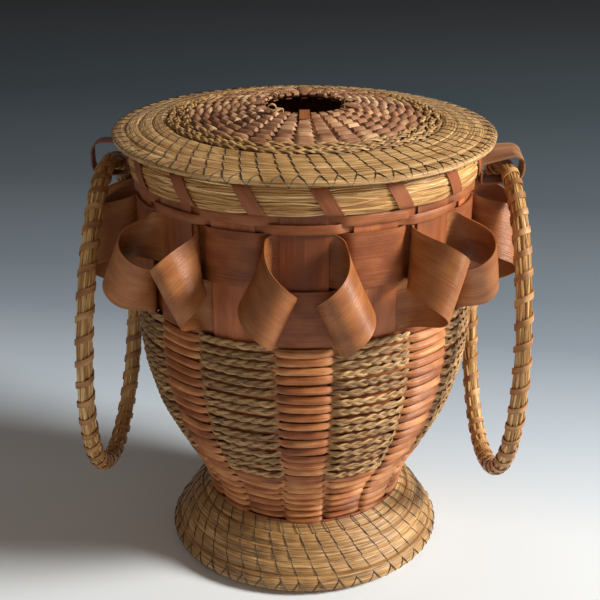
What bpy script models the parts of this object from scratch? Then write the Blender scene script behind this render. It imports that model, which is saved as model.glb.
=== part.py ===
# Splint and sweetgrass yarn basket with a lid and two hanging hoops.
# Metres, +Z up. The origin is on the floor under the middle of the basket.
# The front is at -Y. Angles run from the front towards +X.

import math

import bmesh
import bpy
import numpy
from mathutils import Matrix, Vector

# Driving dimensions

# Clearance between pieces that lie on each other
SEAT_GAP = 0.0003

# Uprights, the stiff splints that stand in the wall
UPRIGHT_COUNT = 16
UPRIGHT_THICKNESS = 0.0008
UPRIGHT_WIDTH_SHARE = 0.66
UPRIGHT_TUCK = 0.0105
UPRIGHT_BEND = 0.0016

# Wall, measured on the middle of the uprights
WAIST_RADIUS = 0.0503
SHOULDER_RADIUS = 0.0845
SHOULDER_HEIGHT = 0.135
WALL_HEIGHT_SHARES = (0.0, 0.135, 0.30, 0.47, 0.66, 0.90, 1.0)
WALL_SWELL_SHARES = (0.0, 0.08, 0.33, 0.62, 0.845, 0.99, 1.0)
WALL_SAMPLE_SHARES = (0.07, 0.18, 0.30, 0.45, 0.62, 0.82)
WALL_VALLEY_THICKNESS = 0.0012
SPLINT_ROW_THICKNESS = 0.0022
BRAID_ROW_THICKNESS = 0.0030
BRAID_START_HEIGHT = 0.065
BRAID_STEP = 0.001
BASE_THICKNESS = 0.0016

# Band of wide and narrow weavers above the wall's shoulder
BAND_RISE = 0.0121
WIDE_WEAVER_HEIGHT = 0.0265
NARROW_WEAVER_HEIGHTS = (0.0040, 0.0026)
WEAVER_THICKNESS = 0.0008
ROW_GAP = 0.0006

# Curled ribbon
RIBBON_WIDTH = 0.026
RIBBON_THICKNESS = 0.0005
CURL_SIDE_RADIUS = 0.0093
CURL_DEPTH_RADIUS = 0.0137
CURL_LEAN_SHARE = 0.15
CURL_EDGE_CLEARANCE = 0.0008
LAP_GAP = 0.0006
CURL_STEPS = 16
CURL_FAIRING_START = 0.7
CURL_FAIRING_END = 1.8

# Rim
RIM_BUNDLE_HEIGHT = 0.0118
RIM_BUNDLE_THICKNESS = 0.0030
RIM_HOOP_THICKNESS = 0.0014
LASHING_THICKNESS = 0.0005
LASHING_WIDTH = 0.0072
LASHING_ADVANCE_SHARES = (0.22, 0.11, 0.45, 0.22)

# Foot, measured on the middle of its coil
FOOT_RADIUS = 0.0720
FOOT_NECK_RADIUS = 0.0524
FOOT_HEIGHT = 0.0286
FOOT_BULGE = 0.0024
FOOT_ROWS = 5
FOOT_COIL_THICKNESS = 0.0058
FOOT_FLAT_DEPTH = 0.0005

# Lid
LID_OVERHANG = 0.0065
LID_HOLE_RADIUS = 0.0207
LID_RISE = 0.0173
LID_DOME_POWER = 1.15
LID_BORDER_ROWS = 4
LID_BORDER_WIDTH = 0.0264
LID_COIL_THICKNESS = 0.0058
LID_WEAVE_THICKNESS = 0.0020
LID_COLUMN_RELIEF = 0.0006
LID_COLUMNS = 32
SPOKE_COUNT = 16
SPOKE_THICKNESS = 0.0006
SPOKE_INNER_WIDTH = 0.0030
SPOKE_OUTER_WIDTH = 0.0096
FLANGE_THICKNESS = 0.0012
FLANGE_CLEARANCE = 0.0009
FLANGE_DEPTH = 0.0125

# Coils
COIL_ROW_GAP = 0.0005
COIL_CROSSING_SHARE = 0.17
COIL_END_SHARE = 0.3
FOOT_COIL_STEPS = 24
LID_COIL_STEPS = 28
COIL_SIDES = 6

# Handle hoops. The left one hangs closer to the rim and leans out over the curls
RIGHT_HANG = 0.0139
LEFT_HANG = 0.0105
RIGHT_HINGE_RISE = -0.0006
LEFT_HINGE_RISE = 0.0024
RIGHT_LEAN = math.radians(0.0)
LEFT_LEAN = math.radians(3.0)
HOOP_HALF_WIDTH = 0.054
HOOP_HALF_HEIGHT = 0.0845
HOOP_DROOP_SHARE = 0.03
HOOP_YAW = math.radians(5.5)
HOOP_CORE_RADIUS = 0.0039
HOOP_STEPS = 40
HOOP_SIDES = 8
WRAP_LOOPS = 20
WRAP_LOOP_STEPS = 8
WRAP_WIDTH = 0.0030
WRAP_THICKNESS = 0.0005
WRAP_LIFT = 0.0006
BARE_LENGTH = 0.018

# Ears
RIGHT_EAR_REACH = 0.0165
LEFT_EAR_REACH = 0.0131
EAR_TOP_DROP = 0.0079
EAR_THICKNESS = 0.0008
EAR_WIDTH = 0.0120
EAR_SEAT_WIDTH = 0.0078
EAR_CLEARANCE = 0.0016
EAR_STEPS = 12

# Counts that only set how finely pieces are divided
RING_STEPS = 48
LEVEL_SHARES = (0.0, 0.5, 1.0)

# Sizes that follow from the driving ones
UPRIGHT_ANGLE = math.tau / UPRIGHT_COUNT
UPRIGHT_HALF_ANGLE = UPRIGHT_ANGLE * UPRIGHT_WIDTH_SHARE / 2
HALF_UPRIGHT = UPRIGHT_THICKNESS / 2
HALF_WEAVER = WEAVER_THICKNESS / 2
OVER_OFFSET = HALF_UPRIGHT + SEAT_GAP + HALF_WEAVER
RIBBON_OFFSET = HALF_UPRIGHT + SEAT_GAP + RIBBON_THICKNESS / 2
DEEP_OFFSET = RIBBON_OFFSET + RIBBON_THICKNESS / 2 + SEAT_GAP + HALF_WEAVER
BAND_HEIGHT = SHOULDER_HEIGHT + BAND_RISE
BUNDLE_INNER = SHOULDER_RADIUS + HALF_UPRIGHT + SEAT_GAP
RIM_OUTER = BUNDLE_INNER + RIM_BUNDLE_THICKNESS
SEAT_RADIUS = RIM_OUTER + SEAT_GAP + LASHING_THICKNESS
LID_RADIUS = SEAT_RADIUS + LID_OVERHANG
EAR_SEAT = RIM_OUTER + SEAT_GAP


def clear_scene():
    for old in list(bpy.data.objects):
        bpy.data.objects.remove(old, do_unlink=True)


def finish(name, color, roughness):
    material = bpy.data.materials.new(name)
    material.use_nodes = True
    shader = material.node_tree.nodes["Principled BSDF"]
    shader.inputs["Base Color"].default_value = (*color, 1.0)
    shader.inputs["Roughness"].default_value = roughness
    shader.inputs["Metallic"].default_value = 0.0
    return material


def polar(angle, radius, height):
    return Vector((radius * math.sin(angle), -radius * math.cos(angle), height))


def smooth_step(share):
    share = min(max(share, 0.0), 1.0)
    return share * share * (3.0 - 2.0 * share)


def smooth_curve(stations, values, station):
    # A soft curve through the given stations, level with their own slopes
    if station <= stations[0]:
        return values[0]
    if station >= stations[-1]:
        return values[-1]
    last = len(stations) - 1
    index = max(k for k in range(last) if stations[k] <= station)

    def slope(k):
        low = max(k - 1, 0)
        high = min(k + 1, last)
        return (values[high] - values[low]) / (stations[high] - stations[low])

    run = stations[index + 1] - stations[index]
    t = (station - stations[index]) / run
    start = values[index] + run * slope(index) * t
    end = values[index + 1] - run * slope(index + 1) * (1 - t)
    ease = smooth_step(t)
    return start * (1 - ease) + end * ease


def loft(name, rings, material, closed=False):
    # One closed solid through rings of equally many points
    mesh = bpy.data.meshes.new(name)
    bm = bmesh.new()
    loops = [[bm.verts.new(point) for point in ring] for ring in rings]
    count = len(loops[0])
    pairs = list(zip(loops, loops[1:]))
    if closed:
        pairs.append((loops[-1], loops[0]))
    for near, far in pairs:
        for k in range(count):
            following = (k + 1) % count
            bm.faces.new((near[k], near[following], far[following], far[k]))
    if not closed:
        bm.faces.new(loops[0])
        bm.faces.new(loops[-1])
    bmesh.ops.recalc_face_normals(bm, faces=bm.faces)
    bm.to_mesh(mesh)
    bm.free()
    mesh.shade_smooth()
    mesh.set_sharp_from_angle(angle=math.radians(35))
    mesh.materials.append(material)
    return place(name, mesh)


def place(name, mesh, turn=0.0, parent=None):
    piece = bpy.data.objects.new(name, mesh)
    piece.rotation_euler.z = turn
    bpy.context.collection.objects.link(piece)
    if parent is not None:
        piece.parent = parent
    return piece


def joint_empty(name, location):
    empty = bpy.data.objects.new(name, None)
    empty.location = location
    bpy.context.collection.objects.link(empty)
    return empty


def least_gap(rings, apart):
    # Least distance between points of rings that lie more than the given count apart
    points = numpy.array([[tuple(point) for point in ring] for ring in rings])
    least = math.inf
    for index in range(len(points) - apart):
        others = points[index + apart:].reshape(-1, 3)
        reach = points[index][:, None, :] - others[None, :, :]
        least = min(least, float(numpy.sqrt((reach ** 2).sum(axis=2)).min()))
    return least


# Coiled foot and lid border: one tube wound row on row

def coil_rings(profile, length, rows, thickness, steps, start_angle):
    # profile(p) gives radius and height, p from the last edge to the first.
    # Each row runs level and crosses to the next one in the last part of its turn.
    pitch = length / rows

    def edge(turns):
        whole = math.floor(turns)
        crossing = (turns - whole - 1 + COIL_CROSSING_SHARE) / COIL_CROSSING_SHARE
        drop = pitch * (whole + smooth_step(crossing))
        return min(max(length - drop, 0.0), length)

    first = -COIL_CROSSING_SHARE * (1 - COIL_END_SHARE)
    last = rows - COIL_CROSSING_SHARE * COIL_END_SHARE
    count = round((last - first) * steps)
    full = (pitch - COIL_ROW_GAP) / 2
    rings = []
    for step in range(count + 1):
        turns = first + (last - first) * step / count
        upper = edge(turns)
        lower = edge(turns + 1)
        half = (upper - lower - COIL_ROW_GAP) / 2
        middle = (upper + lower) / 2
        radius, height = profile(middle)
        ahead = profile(middle + pitch / 2)
        behind = profile(middle - pitch / 2)
        along = Vector((ahead[0] - behind[0], ahead[1] - behind[1])).normalized()
        across = Vector((-along.y, along.x))
        depth = thickness / 2 * math.sqrt(half / full)
        angle = start_angle + math.tau * turns
        ring = []
        for side in range(COIL_SIDES):
            turn = math.tau * side / COIL_SIDES
            offset = along * half * math.cos(turn) + across * depth * math.sin(turn)
            ring.append(polar(angle, radius + offset.x, height + offset.y))
        rings.append(ring)
    return rings


def foot_profile(along):
    chord = math.hypot(FOOT_RADIUS - FOOT_NECK_RADIUS, FOOT_HEIGHT)
    share = along / chord
    bow = 4 * FOOT_BULGE * share * (1 - share)
    outward = FOOT_HEIGHT / chord
    upward = (FOOT_RADIUS - FOOT_NECK_RADIUS) / chord
    radius = FOOT_RADIUS + (FOOT_NECK_RADIUS - FOOT_RADIUS) * share + bow * outward
    return radius, FOOT_HEIGHT * share + bow * upward


def build_foot(material):
    length = math.hypot(FOOT_RADIUS - FOOT_NECK_RADIUS, FOOT_HEIGHT)
    rings = coil_rings(foot_profile, length, FOOT_ROWS, FOOT_COIL_THICKNESS, FOOT_COIL_STEPS, math.pi)
    lowest = min(point.z for ring in rings for point in ring)
    lift = Vector((0.0, 0.0, -lowest - FOOT_FLAT_DEPTH))
    rings = [[point + lift for point in ring] for ring in rings]
    piece = loft("foot_coil", rings, material)
    bm = bmesh.new()
    bm.from_mesh(piece.data)
    everything = list(bm.verts) + list(bm.edges) + list(bm.faces)
    cut = bmesh.ops.bisect_plane(
        bm, geom=everything, plane_co=(0, 0, 0), plane_no=(0, 0, -1), clear_outer=True)
    rim = [item for item in cut["geom_cut"] if isinstance(item, bmesh.types.BMEdge)]
    bmesh.ops.triangle_fill(bm, use_beauty=True, edges=rim, normal=(0, 0, -1))
    bmesh.ops.recalc_face_normals(bm, faces=bm.faces)
    bm.to_mesh(piece.data)
    bm.free()
    piece.data.set_sharp_from_angle(angle=math.radians(35))
    print("foot_coil least gap between rows, m:", round(least_gap(rings, FOOT_COIL_STEPS // 2), 5))
    return max(point.z for ring in rings for point in ring)


# Floor, uprights and wall

def wall_radius(height, floor):
    share = (height - floor) / (SHOULDER_HEIGHT - floor)
    swell = smooth_curve(WALL_HEIGHT_SHARES, WALL_SWELL_SHARES, share)
    return WAIST_RADIUS + (SHOULDER_RADIUS - WAIST_RADIUS) * swell


def wall_normal(height, floor):
    probe = UPRIGHT_THICKNESS
    rise = wall_radius(height + probe, floor) - wall_radius(height - probe, floor)
    return Vector((2 * probe, -rise)).normalized()


def build_uprights(material, floor, top):
    # Middle line from the tuck under the floor, round the bend and up to the rim
    line = [
        (WAIST_RADIUS - UPRIGHT_TUCK, floor, Vector((0.0, -1.0))),
        (WAIST_RADIUS - UPRIGHT_BEND, floor, Vector((0.0, -1.0))),
        (WAIST_RADIUS, floor + UPRIGHT_BEND, Vector((1.0, 0.0))),
    ]
    for share in WALL_SAMPLE_SHARES + (1.0,):
        height = floor + (SHOULDER_HEIGHT - floor) * share
        line.append((wall_radius(height, floor), height, wall_normal(height, floor)))
    line.append((SHOULDER_RADIUS, top, Vector((1.0, 0.0))))
    rings = []
    for radius, height, normal in line:
        ring = []
        for side, share in ((1, -1), (1, 0), (1, 1), (-1, 1), (-1, 0), (-1, -1)):
            shift = normal * side * HALF_UPRIGHT
            ring.append(polar(UPRIGHT_HALF_ANGLE * share, radius + shift.x, height + shift.y))
        rings.append(ring)
    first = loft("upright_01", rings, material)
    for index in range(1, UPRIGHT_COUNT):
        place("upright_%02d" % (index + 1), first.data, UPRIGHT_ANGLE * index)


def build_floor(material, bottom):
    radius = WAIST_RADIUS - UPRIGHT_BEND - SEAT_GAP
    rings = []
    for height in (bottom, bottom + BASE_THICKNESS):
        rings.append([polar(math.tau * k / RING_STEPS, radius, height) for k in range(RING_STEPS)])
    loft("base_weave", rings, material)


def build_wall(material, floor, bottom):
    # The shell outside the uprights, swelling over each of them
    inner = HALF_UPRIGHT + SEAT_GAP
    heights = [bottom]
    for share in WALL_SAMPLE_SHARES:
        heights.append(floor + (SHOULDER_HEIGHT - floor) * share)
    heights += [BRAID_START_HEIGHT, BRAID_START_HEIGHT + BRAID_STEP, SHOULDER_HEIGHT, BAND_HEIGHT]
    heights.sort()
    per_upright = RING_STEPS // UPRIGHT_COUNT
    rings = []
    for step in range(RING_STEPS):
        column = (step + per_upright // 2) // per_upright
        on_upright = step % per_upright == 0
        angle = math.tau * step / RING_STEPS
        outer_side = []
        inner_side = []
        for height in heights:
            braided = column % 2 == 1 and height > BRAID_START_HEIGHT
            crown = BRAID_ROW_THICKNESS if braided else SPLINT_ROW_THICKNESS
            thickness = crown if on_upright else WALL_VALLEY_THICKNESS
            radius = wall_radius(height, floor)
            normal = wall_normal(height, floor)
            if height in (heights[0], heights[-1]):
                normal = Vector((1.0, 0.0))
            near = normal * inner
            far = normal * (inner + thickness)
            outer_side.append(polar(angle, radius + far.x, height + far.y))
            inner_side.append(polar(angle, radius + near.x, height + near.y))
        rings.append(outer_side + inner_side[::-1])
    loft("woven_wall", rings, material, closed=True)


# Band: wide and narrow weavers, over and under the uprights in turn

def build_weaver(name, material, bottom, height, over_first, ribbon_under):
    rings = []
    for index in range(UPRIGHT_COUNT):
        over = (index % 2 == 0) == over_first
        offset = OVER_OFFSET
        reach = UPRIGHT_HALF_ANGLE + CURL_EDGE_CLEARANCE / SHOULDER_RADIUS
        if not over:
            offset = -DEEP_OFFSET if ribbon_under else -OVER_OFFSET
            if ribbon_under:
                reach += (UPRIGHT_ANGLE / 2 - UPRIGHT_HALF_ANGLE) * 2 / 3
        for share in (-1, 0, 1):
            angle = UPRIGHT_ANGLE * index + reach * share
            inner = SHOULDER_RADIUS + offset - HALF_WEAVER
            outer = inner + WEAVER_THICKNESS
            rings.append([
                polar(angle, inner, bottom), polar(angle, outer, bottom),
                polar(angle, outer, bottom + height), polar(angle, inner, bottom + height)])
    loft(name, rings, material, closed=True)


# Curls: the ribbon runs behind an upright, turns once round, leaning to that upright, and runs
# behind the next one

def curl_rings(lower, upper):
    # Points are first laid out as (run round the wall, height, reach out of the ribbon's layer)
    layer = SHOULDER_RADIUS - RIBBON_OFFSET
    pitch = UPRIGHT_ANGLE * layer
    start_run = UPRIGHT_HALF_ANGLE * layer + CURL_EDGE_CLEARANCE
    start = Vector((start_run, upper, 0.0))
    end = Vector((pitch - start_run, lower, 0.0))
    axis = (end - start).normalized()
    side = Vector((-axis.y, axis.x, 0.0))
    out = Vector((0.0, 0.0, 1.0))
    leaning = Vector((-CURL_LEAN_SHARE, 0.0, 1.0))
    slant = side.y
    mean_radius = (CURL_SIDE_RADIUS + CURL_DEPTH_RADIUS) / 2
    half = RIBBON_WIDTH / 2

    def on_loop(turn):
        return side * CURL_SIDE_RADIUS * math.sin(turn) + leaning * CURL_DEPTH_RADIUS * (1 - math.cos(turn))

    def loop_normal(turn):
        spread = side * math.sin(turn) / CURL_SIDE_RADIUS - out * math.cos(turn) / CURL_DEPTH_RADIUS
        return spread.normalized()

    strip = []
    for share in LEVEL_SHARES:
        strip.append([(Vector((start_run * share, upper + half * end_, 0.0)), -out) for end_ in (1, -1)])
    for step in range(1, CURL_STEPS + 1):
        share = step / CURL_STEPS
        turn = math.tau * share
        nearest = min(turn, math.tau - turn)
        fair = smooth_step((nearest - CURL_FAIRING_START) / (CURL_FAIRING_END - CURL_FAIRING_START))
        middle = start + (end - start) * share
        edges = []
        for end_ in (1, -1):
            width = -half * end_
            straight = (axis * -axis.y - side * slant * math.cos(turn)) * width
            lag = width * slant / mean_radius * fair
            wrapped = axis * -axis.y * width + on_loop(turn - lag) - on_loop(turn)
            offset = straight * (1 - fair) + wrapped * fair
            edges.append((middle + on_loop(turn) + offset, loop_normal(turn - lag)))
        strip.append(edges)
    for share in LEVEL_SHARES[1:]:
        run = pitch - start_run + (start_run - LAP_GAP / 2) * share
        strip.append([(Vector((run, lower + half * end_, 0.0)), -out) for end_ in (1, -1)])
    mirrored = [[(Vector((-p.x, p.y, p.z)), Vector((-n.x, n.y, n.z))) for p, n in edges] for edges in strip]
    whole = mirrored[:0:-1] + strip
    rings = []
    for edges in whole:
        flat = []
        for sign, order in ((0.5, edges), (-0.5, edges[::-1])):
            flat += [point + normal * RIBBON_THICKNESS * sign for point, normal in order]
        rings.append([polar(p.x / layer, layer + p.z, p.y) for p in flat])
    return rings


def build_curls(material, lower, upper):
    first = loft("curl_pair_1", curl_rings(lower, upper), material)
    for index in range(1, UPRIGHT_COUNT // 2):
        place("curl_pair_%d" % (index + 1), first.data, 2 * UPRIGHT_ANGLE * index)


# Rim

def build_hoop(name, material, inner, outer, bottom, top):
    rings = []
    for step in range(RING_STEPS):
        angle = math.tau * step / RING_STEPS
        rings.append([
            polar(angle, inner, bottom), polar(angle, outer, bottom),
            polar(angle, outer, top), polar(angle, inner, top)])
    return loft(name, rings, material, closed=True)


def build_rim_bundle(material, inner, bottom):
    middle = inner + RIM_BUNDLE_THICKNESS / 2
    height = bottom + RIM_BUNDLE_HEIGHT / 2
    rings = []
    for step in range(RING_STEPS):
        angle = math.tau * step / RING_STEPS
        ring = []
        for side in range(COIL_SIDES):
            turn = math.tau * side / COIL_SIDES
            reach = RIM_BUNDLE_THICKNESS / 2 * math.sin(turn) / math.sin(math.tau / COIL_SIDES)
            rise = RIM_BUNDLE_HEIGHT / 2 * math.cos(turn)
            ring.append(polar(angle, middle + reach, height + rise))
        rings.append(ring)
    loft("rim_grass_bundle", rings, material, closed=True)


def build_lashing(material, inner, outer, bottom, top):
    # One strip wound round the rim: down outside, in between two uprights, up inside, out over the top
    outside, under, inside, over = (share * UPRIGHT_ANGLE for share in LASHING_ADVANCE_SHARES)
    corner = LASHING_THICKNESS / 2
    through = UPRIGHT_ANGLE / 2 - under / 2
    half_angle = LASHING_WIDTH / 2 / outer
    # angle, radius, height, and the way out of the rim
    turn_line = [
        (through - outside, outer, top - corner, (1, 0)),
        (through - outside / 2, outer, (top + bottom) / 2, (1, 0)),
        (through, outer, bottom + corner, (1, 0)),
        (through, outer - corner, bottom, (0, -1)),
        (through + under, inner + corner, bottom, (0, -1)),
        (through + under, inner, bottom + corner, (-1, 0)),
        (through + under + inside / 2, inner, (top + bottom) / 2, (-1, 0)),
        (through + under + inside, inner, top - corner, (-1, 0)),
        (through + under + inside, inner + corner, top, (0, 1)),
        (through + under + inside + over, outer - corner, top, (0, 1)),
    ]
    rings = []
    for wrap in range(UPRIGHT_COUNT):
        for angle, radius, height, out in turn_line:
            ring = []
            for width, lift in ((-1, 0), (1, 0), (1, 1), (-1, 1)):
                reach = radius + out[0] * LASHING_THICKNESS * lift
                rise = height + out[1] * LASHING_THICKNESS * lift
                ring.append(polar(angle + UPRIGHT_ANGLE * wrap + half_angle * width, reach, rise))
            rings.append(ring)
    rings = rings[1:-1]
    loft("rim_lashing", rings, material)
    print("rim_lashing least gap between wraps, m:", round(least_gap(rings, len(turn_line) - 2), 5))


# Lid

def lid_height(radius, edge_height):
    share = (LID_RADIUS - radius) / (LID_RADIUS - LID_HOLE_RADIUS)
    return edge_height + LID_RISE * math.copysign(abs(share) ** LID_DOME_POWER, share)


def build_lid(grass, splint, rim_top, mouth_radius, edge_height):
    lift = joint_empty("lid_lift", (0.0, 0.0, rim_top))
    down = Matrix.Translation((0.0, 0.0, -rim_top))

    def set_on_lift(piece):
        piece.data.transform(down)
        piece.parent = lift

    def border_profile(along):
        radius = LID_RADIUS - along
        return radius, lid_height(radius, edge_height)

    rings = coil_rings(
        border_profile, LID_BORDER_WIDTH, LID_BORDER_ROWS, LID_COIL_THICKNESS, LID_COIL_STEPS, math.pi)
    print("lid_border_coil least gap between rows, m:", round(least_gap(rings, LID_COIL_STEPS // 2), 5))
    set_on_lift(loft("lid_border_coil", rings, grass))

    # Woven disc with a column of rows over each of its ribs
    weave_outer = LID_RADIUS - LID_BORDER_WIDTH - SEAT_GAP
    radii = [LID_HOLE_RADIUS + (weave_outer - LID_HOLE_RADIUS) * share for share in (0.0, 1 / 3, 2 / 3, 1.0)]
    rings = []
    for step in range(2 * LID_COLUMNS):
        relief = LID_COLUMN_RELIEF if step % 2 == 0 else 0.0
        angle = math.tau * step / (2 * LID_COLUMNS)
        upper = []
        lower = []
        for radius in radii:
            height = lid_height(radius, edge_height)
            upper.append(polar(angle, radius, height + LID_WEAVE_THICKNESS / 2 + relief))
            lower.append(polar(angle, radius, height - LID_WEAVE_THICKNESS / 2))
        rings.append(upper + lower[::-1])
    set_on_lift(loft("lid_weave", rings, splint, closed=True))

    # Radial ribs under the disc
    drop = LID_WEAVE_THICKNESS / 2 + SEAT_GAP
    rings = []
    for radius in radii:
        share = (radius - LID_HOLE_RADIUS) / (weave_outer - LID_HOLE_RADIUS)
        half_width = (SPOKE_INNER_WIDTH + (SPOKE_OUTER_WIDTH - SPOKE_INNER_WIDTH) * share) / 2
        height = lid_height(radius, edge_height) - drop
        rings.append([
            Vector((-half_width, -radius, height)), Vector((half_width, -radius, height)),
            Vector((half_width, -radius, height - SPOKE_THICKNESS)),
            Vector((-half_width, -radius, height - SPOKE_THICKNESS))])
    first = loft("lid_spoke_01", rings, splint)
    set_on_lift(first)
    for index in range(1, SPOKE_COUNT):
        place("lid_spoke_%02d" % (index + 1), first.data, math.tau / SPOKE_COUNT * index, lift)

    # Hoop that centres the lid in the mouth
    outer = mouth_radius - FLANGE_CLEARANCE
    middle = outer - FLANGE_THICKNESS / 2
    top = lid_height(middle, edge_height) - LID_COIL_THICKNESS / 2 - SEAT_GAP
    set_on_lift(build_hoop(
        "lid_flange_hoop", splint, outer - FLANGE_THICKNESS, outer, top - FLANGE_DEPTH, top))


# Ears and handle hoops

def build_ear(name, side, material, reach, low_height, top_height):
    # A tapered loop of splint: its narrow side lies on the rim, the hoop hangs on its lower strap
    inner = HOOP_CORE_RADIUS + EAR_CLEARANCE
    outer = inner + EAR_THICKNESS
    lower = Vector((EAR_SEAT + reach, low_height))
    upper = Vector((EAR_SEAT + reach, top_height))
    half_steps = EAR_STEPS // 2
    outline = []
    for middle, first in ((lower, -half_steps), (upper, 0)):
        for step in range(first, first + half_steps + 1):
            turn = math.pi * step / EAR_STEPS
            outward = Vector((math.cos(turn), math.sin(turn)))
            outline.append((middle + outward * inner, middle + outward * outer, EAR_WIDTH / 2))
    for middle, end in ((upper, 1), (lower, -1)):
        near = Vector((EAR_SEAT + EAR_THICKNESS, middle.y + end * inner))
        outline.append((near, Vector((EAR_SEAT, middle.y + end * outer)), EAR_SEAT_WIDTH / 2))
    rings = []
    for inside, outside, half in outline:
        rings.append([
            Vector((-half, -inside.x, inside.y)), Vector((half, -inside.x, inside.y)),
            Vector((half, -outside.x, outside.y)), Vector((-half, -outside.x, outside.y))])
    ear = loft("ear_" + name, rings, material, closed=True)
    ear.rotation_euler.z = side * math.pi / 2


def hoop_point(turn, side, lean):
    # Middle of the hoop from its top round by the front, seen from the hinge
    across = -HOOP_HALF_WIDTH * (math.sin(turn) - HOOP_DROOP_SHARE * math.sin(2 * turn))
    drop = HOOP_HALF_HEIGHT * (math.cos(turn) - 1)
    outward = -across * math.sin(HOOP_YAW) - drop * math.sin(lean)
    return Vector((side * outward, across * math.cos(HOOP_YAW), drop * math.cos(lean)))


def hoop_frame(turn, side, lean):
    probe = math.pi / HOOP_STEPS
    tangent = (hoop_point(turn + probe, side, lean) - hoop_point(turn - probe, side, lean)).normalized()
    face = Vector((math.cos(HOOP_YAW), side * math.sin(HOOP_YAW), 0.0))
    face = (face - tangent * face.dot(tangent)).normalized()
    return tangent, face, tangent.cross(face)


def build_handle(name, side, grass, splint, hang, lean, hinge_height):
    hinge = joint_empty("hinge_" + name, (side * (EAR_SEAT + hang), 0.0, hinge_height))
    rings = []
    for step in range(HOOP_STEPS):
        turn = math.tau * step / HOOP_STEPS
        tangent, face, inward = hoop_frame(turn, side, lean)
        ring = []
        for k in range(HOOP_SIDES):
            spin = math.tau * k / HOOP_SIDES
            out = face * math.cos(spin) + inward * math.sin(spin)
            ring.append(hoop_point(turn, side, lean) + out * HOOP_CORE_RADIUS)
        rings.append(ring)
    core = loft("handle_core_" + name, rings, grass, closed=True)
    core.parent = hinge

    # The winding starts and ends beside the ear
    bare = BARE_LENGTH / 2 / HOOP_HALF_WIDTH
    count = WRAP_LOOPS * WRAP_LOOP_STEPS
    rings = []
    for step in range(count + 1):
        turn = bare + (math.tau - 2 * bare) * step / count
        tangent, face, inward = hoop_frame(turn, side, lean)
        spin = math.tau * step / WRAP_LOOP_STEPS
        out = face * math.cos(spin) + inward * math.sin(spin)
        ring = []
        for width, lift in ((-0.5, 0), (0.5, 0), (0.5, 1), (-0.5, 1)):
            reach = HOOP_CORE_RADIUS + WRAP_LIFT + WRAP_THICKNESS * lift
            ring.append(hoop_point(turn, side, lean) + out * reach + tangent * WRAP_WIDTH * width)
        rings.append(ring)
    wrap = loft("handle_wrap_" + name, rings, splint)
    wrap.parent = hinge
    gap = least_gap(rings, WRAP_LOOP_STEPS - 1)
    print("handle_wrap_" + name + " least gap between loops, m:", round(gap, 5))


def main():
    clear_scene()
    splint = finish("stained_splint", (0.31, 0.125, 0.066), 0.5)
    ribbon = finish("curled_splint", (0.42, 0.17, 0.085), 0.45)
    grass = finish("sweetgrass", (0.36, 0.24, 0.085), 0.55)

    foot_top = build_foot(grass)
    floor = foot_top + SEAT_GAP + HALF_UPRIGHT
    build_floor(splint, floor + HALF_UPRIGHT + SEAT_GAP)
    build_wall(splint, floor, foot_top + SEAT_GAP)

    # Rows of the band, from the wall up
    lower_bottom = BAND_HEIGHT + ROW_GAP
    upper_bottom = lower_bottom + WIDE_WEAVER_HEIGHT + ROW_GAP
    narrow_bottom = upper_bottom + WIDE_WEAVER_HEIGHT + ROW_GAP / 2
    narrow_second = narrow_bottom + NARROW_WEAVER_HEIGHTS[0] + ROW_GAP / 2
    narrow_top = narrow_second + NARROW_WEAVER_HEIGHTS[1]
    build_weaver("wide_weaver_lower", splint, lower_bottom, WIDE_WEAVER_HEIGHT, True, True)
    build_weaver("wide_weaver_upper", splint, upper_bottom, WIDE_WEAVER_HEIGHT, False, True)
    build_weaver("narrow_weaver_lower", splint, narrow_bottom, NARROW_WEAVER_HEIGHTS[0], True, False)
    build_weaver("narrow_weaver_upper", splint, narrow_second, NARROW_WEAVER_HEIGHTS[1], False, False)
    build_curls(ribbon, lower_bottom + WIDE_WEAVER_HEIGHT / 2, upper_bottom + WIDE_WEAVER_HEIGHT / 2)

    # Rim, with room for the lashing to pass between the top weaver and the bundle
    rim_bottom = narrow_top + SEAT_GAP + LASHING_THICKNESS + SEAT_GAP
    rim_top = rim_bottom + RIM_BUNDLE_HEIGHT
    build_uprights(splint, floor, rim_top)
    build_rim_bundle(grass, BUNDLE_INNER, rim_bottom)
    hoop_outer = SHOULDER_RADIUS - HALF_UPRIGHT - SEAT_GAP
    hoop_inner = hoop_outer - RIM_HOOP_THICKNESS
    build_hoop("rim_inner_hoop", splint, hoop_inner, hoop_outer, rim_bottom, rim_top)
    build_lashing(
        splint, hoop_inner - SEAT_GAP, RIM_OUTER + SEAT_GAP, rim_bottom - SEAT_GAP, rim_top + SEAT_GAP)

    # The lid rests on the lashing at the outer edge of the rim
    seat_height = rim_top + SEAT_GAP + LASHING_THICKNESS
    edge_height = seat_height + SEAT_GAP + LID_COIL_THICKNESS / 2
    edge_height -= lid_height(SEAT_RADIUS, 0.0)
    mouth_radius = hoop_inner - SEAT_GAP - LASHING_THICKNESS
    build_lid(grass, splint, seat_height, mouth_radius, edge_height)

    right_hinge = rim_bottom + RIGHT_HINGE_RISE
    left_hinge = rim_bottom + LEFT_HINGE_RISE
    build_ear("right", 1, splint, RIGHT_EAR_REACH, right_hinge, rim_top - EAR_TOP_DROP)
    build_ear("left", -1, splint, LEFT_EAR_REACH, left_hinge, rim_top - EAR_TOP_DROP)
    build_handle("right", 1, grass, splint, RIGHT_HANG, RIGHT_LEAN, right_hinge)
    build_handle("left", -1, grass, splint, LEFT_HANG, LEFT_LEAN, left_hinge)


main()
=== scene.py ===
import math
from collections import namedtuple

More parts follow.
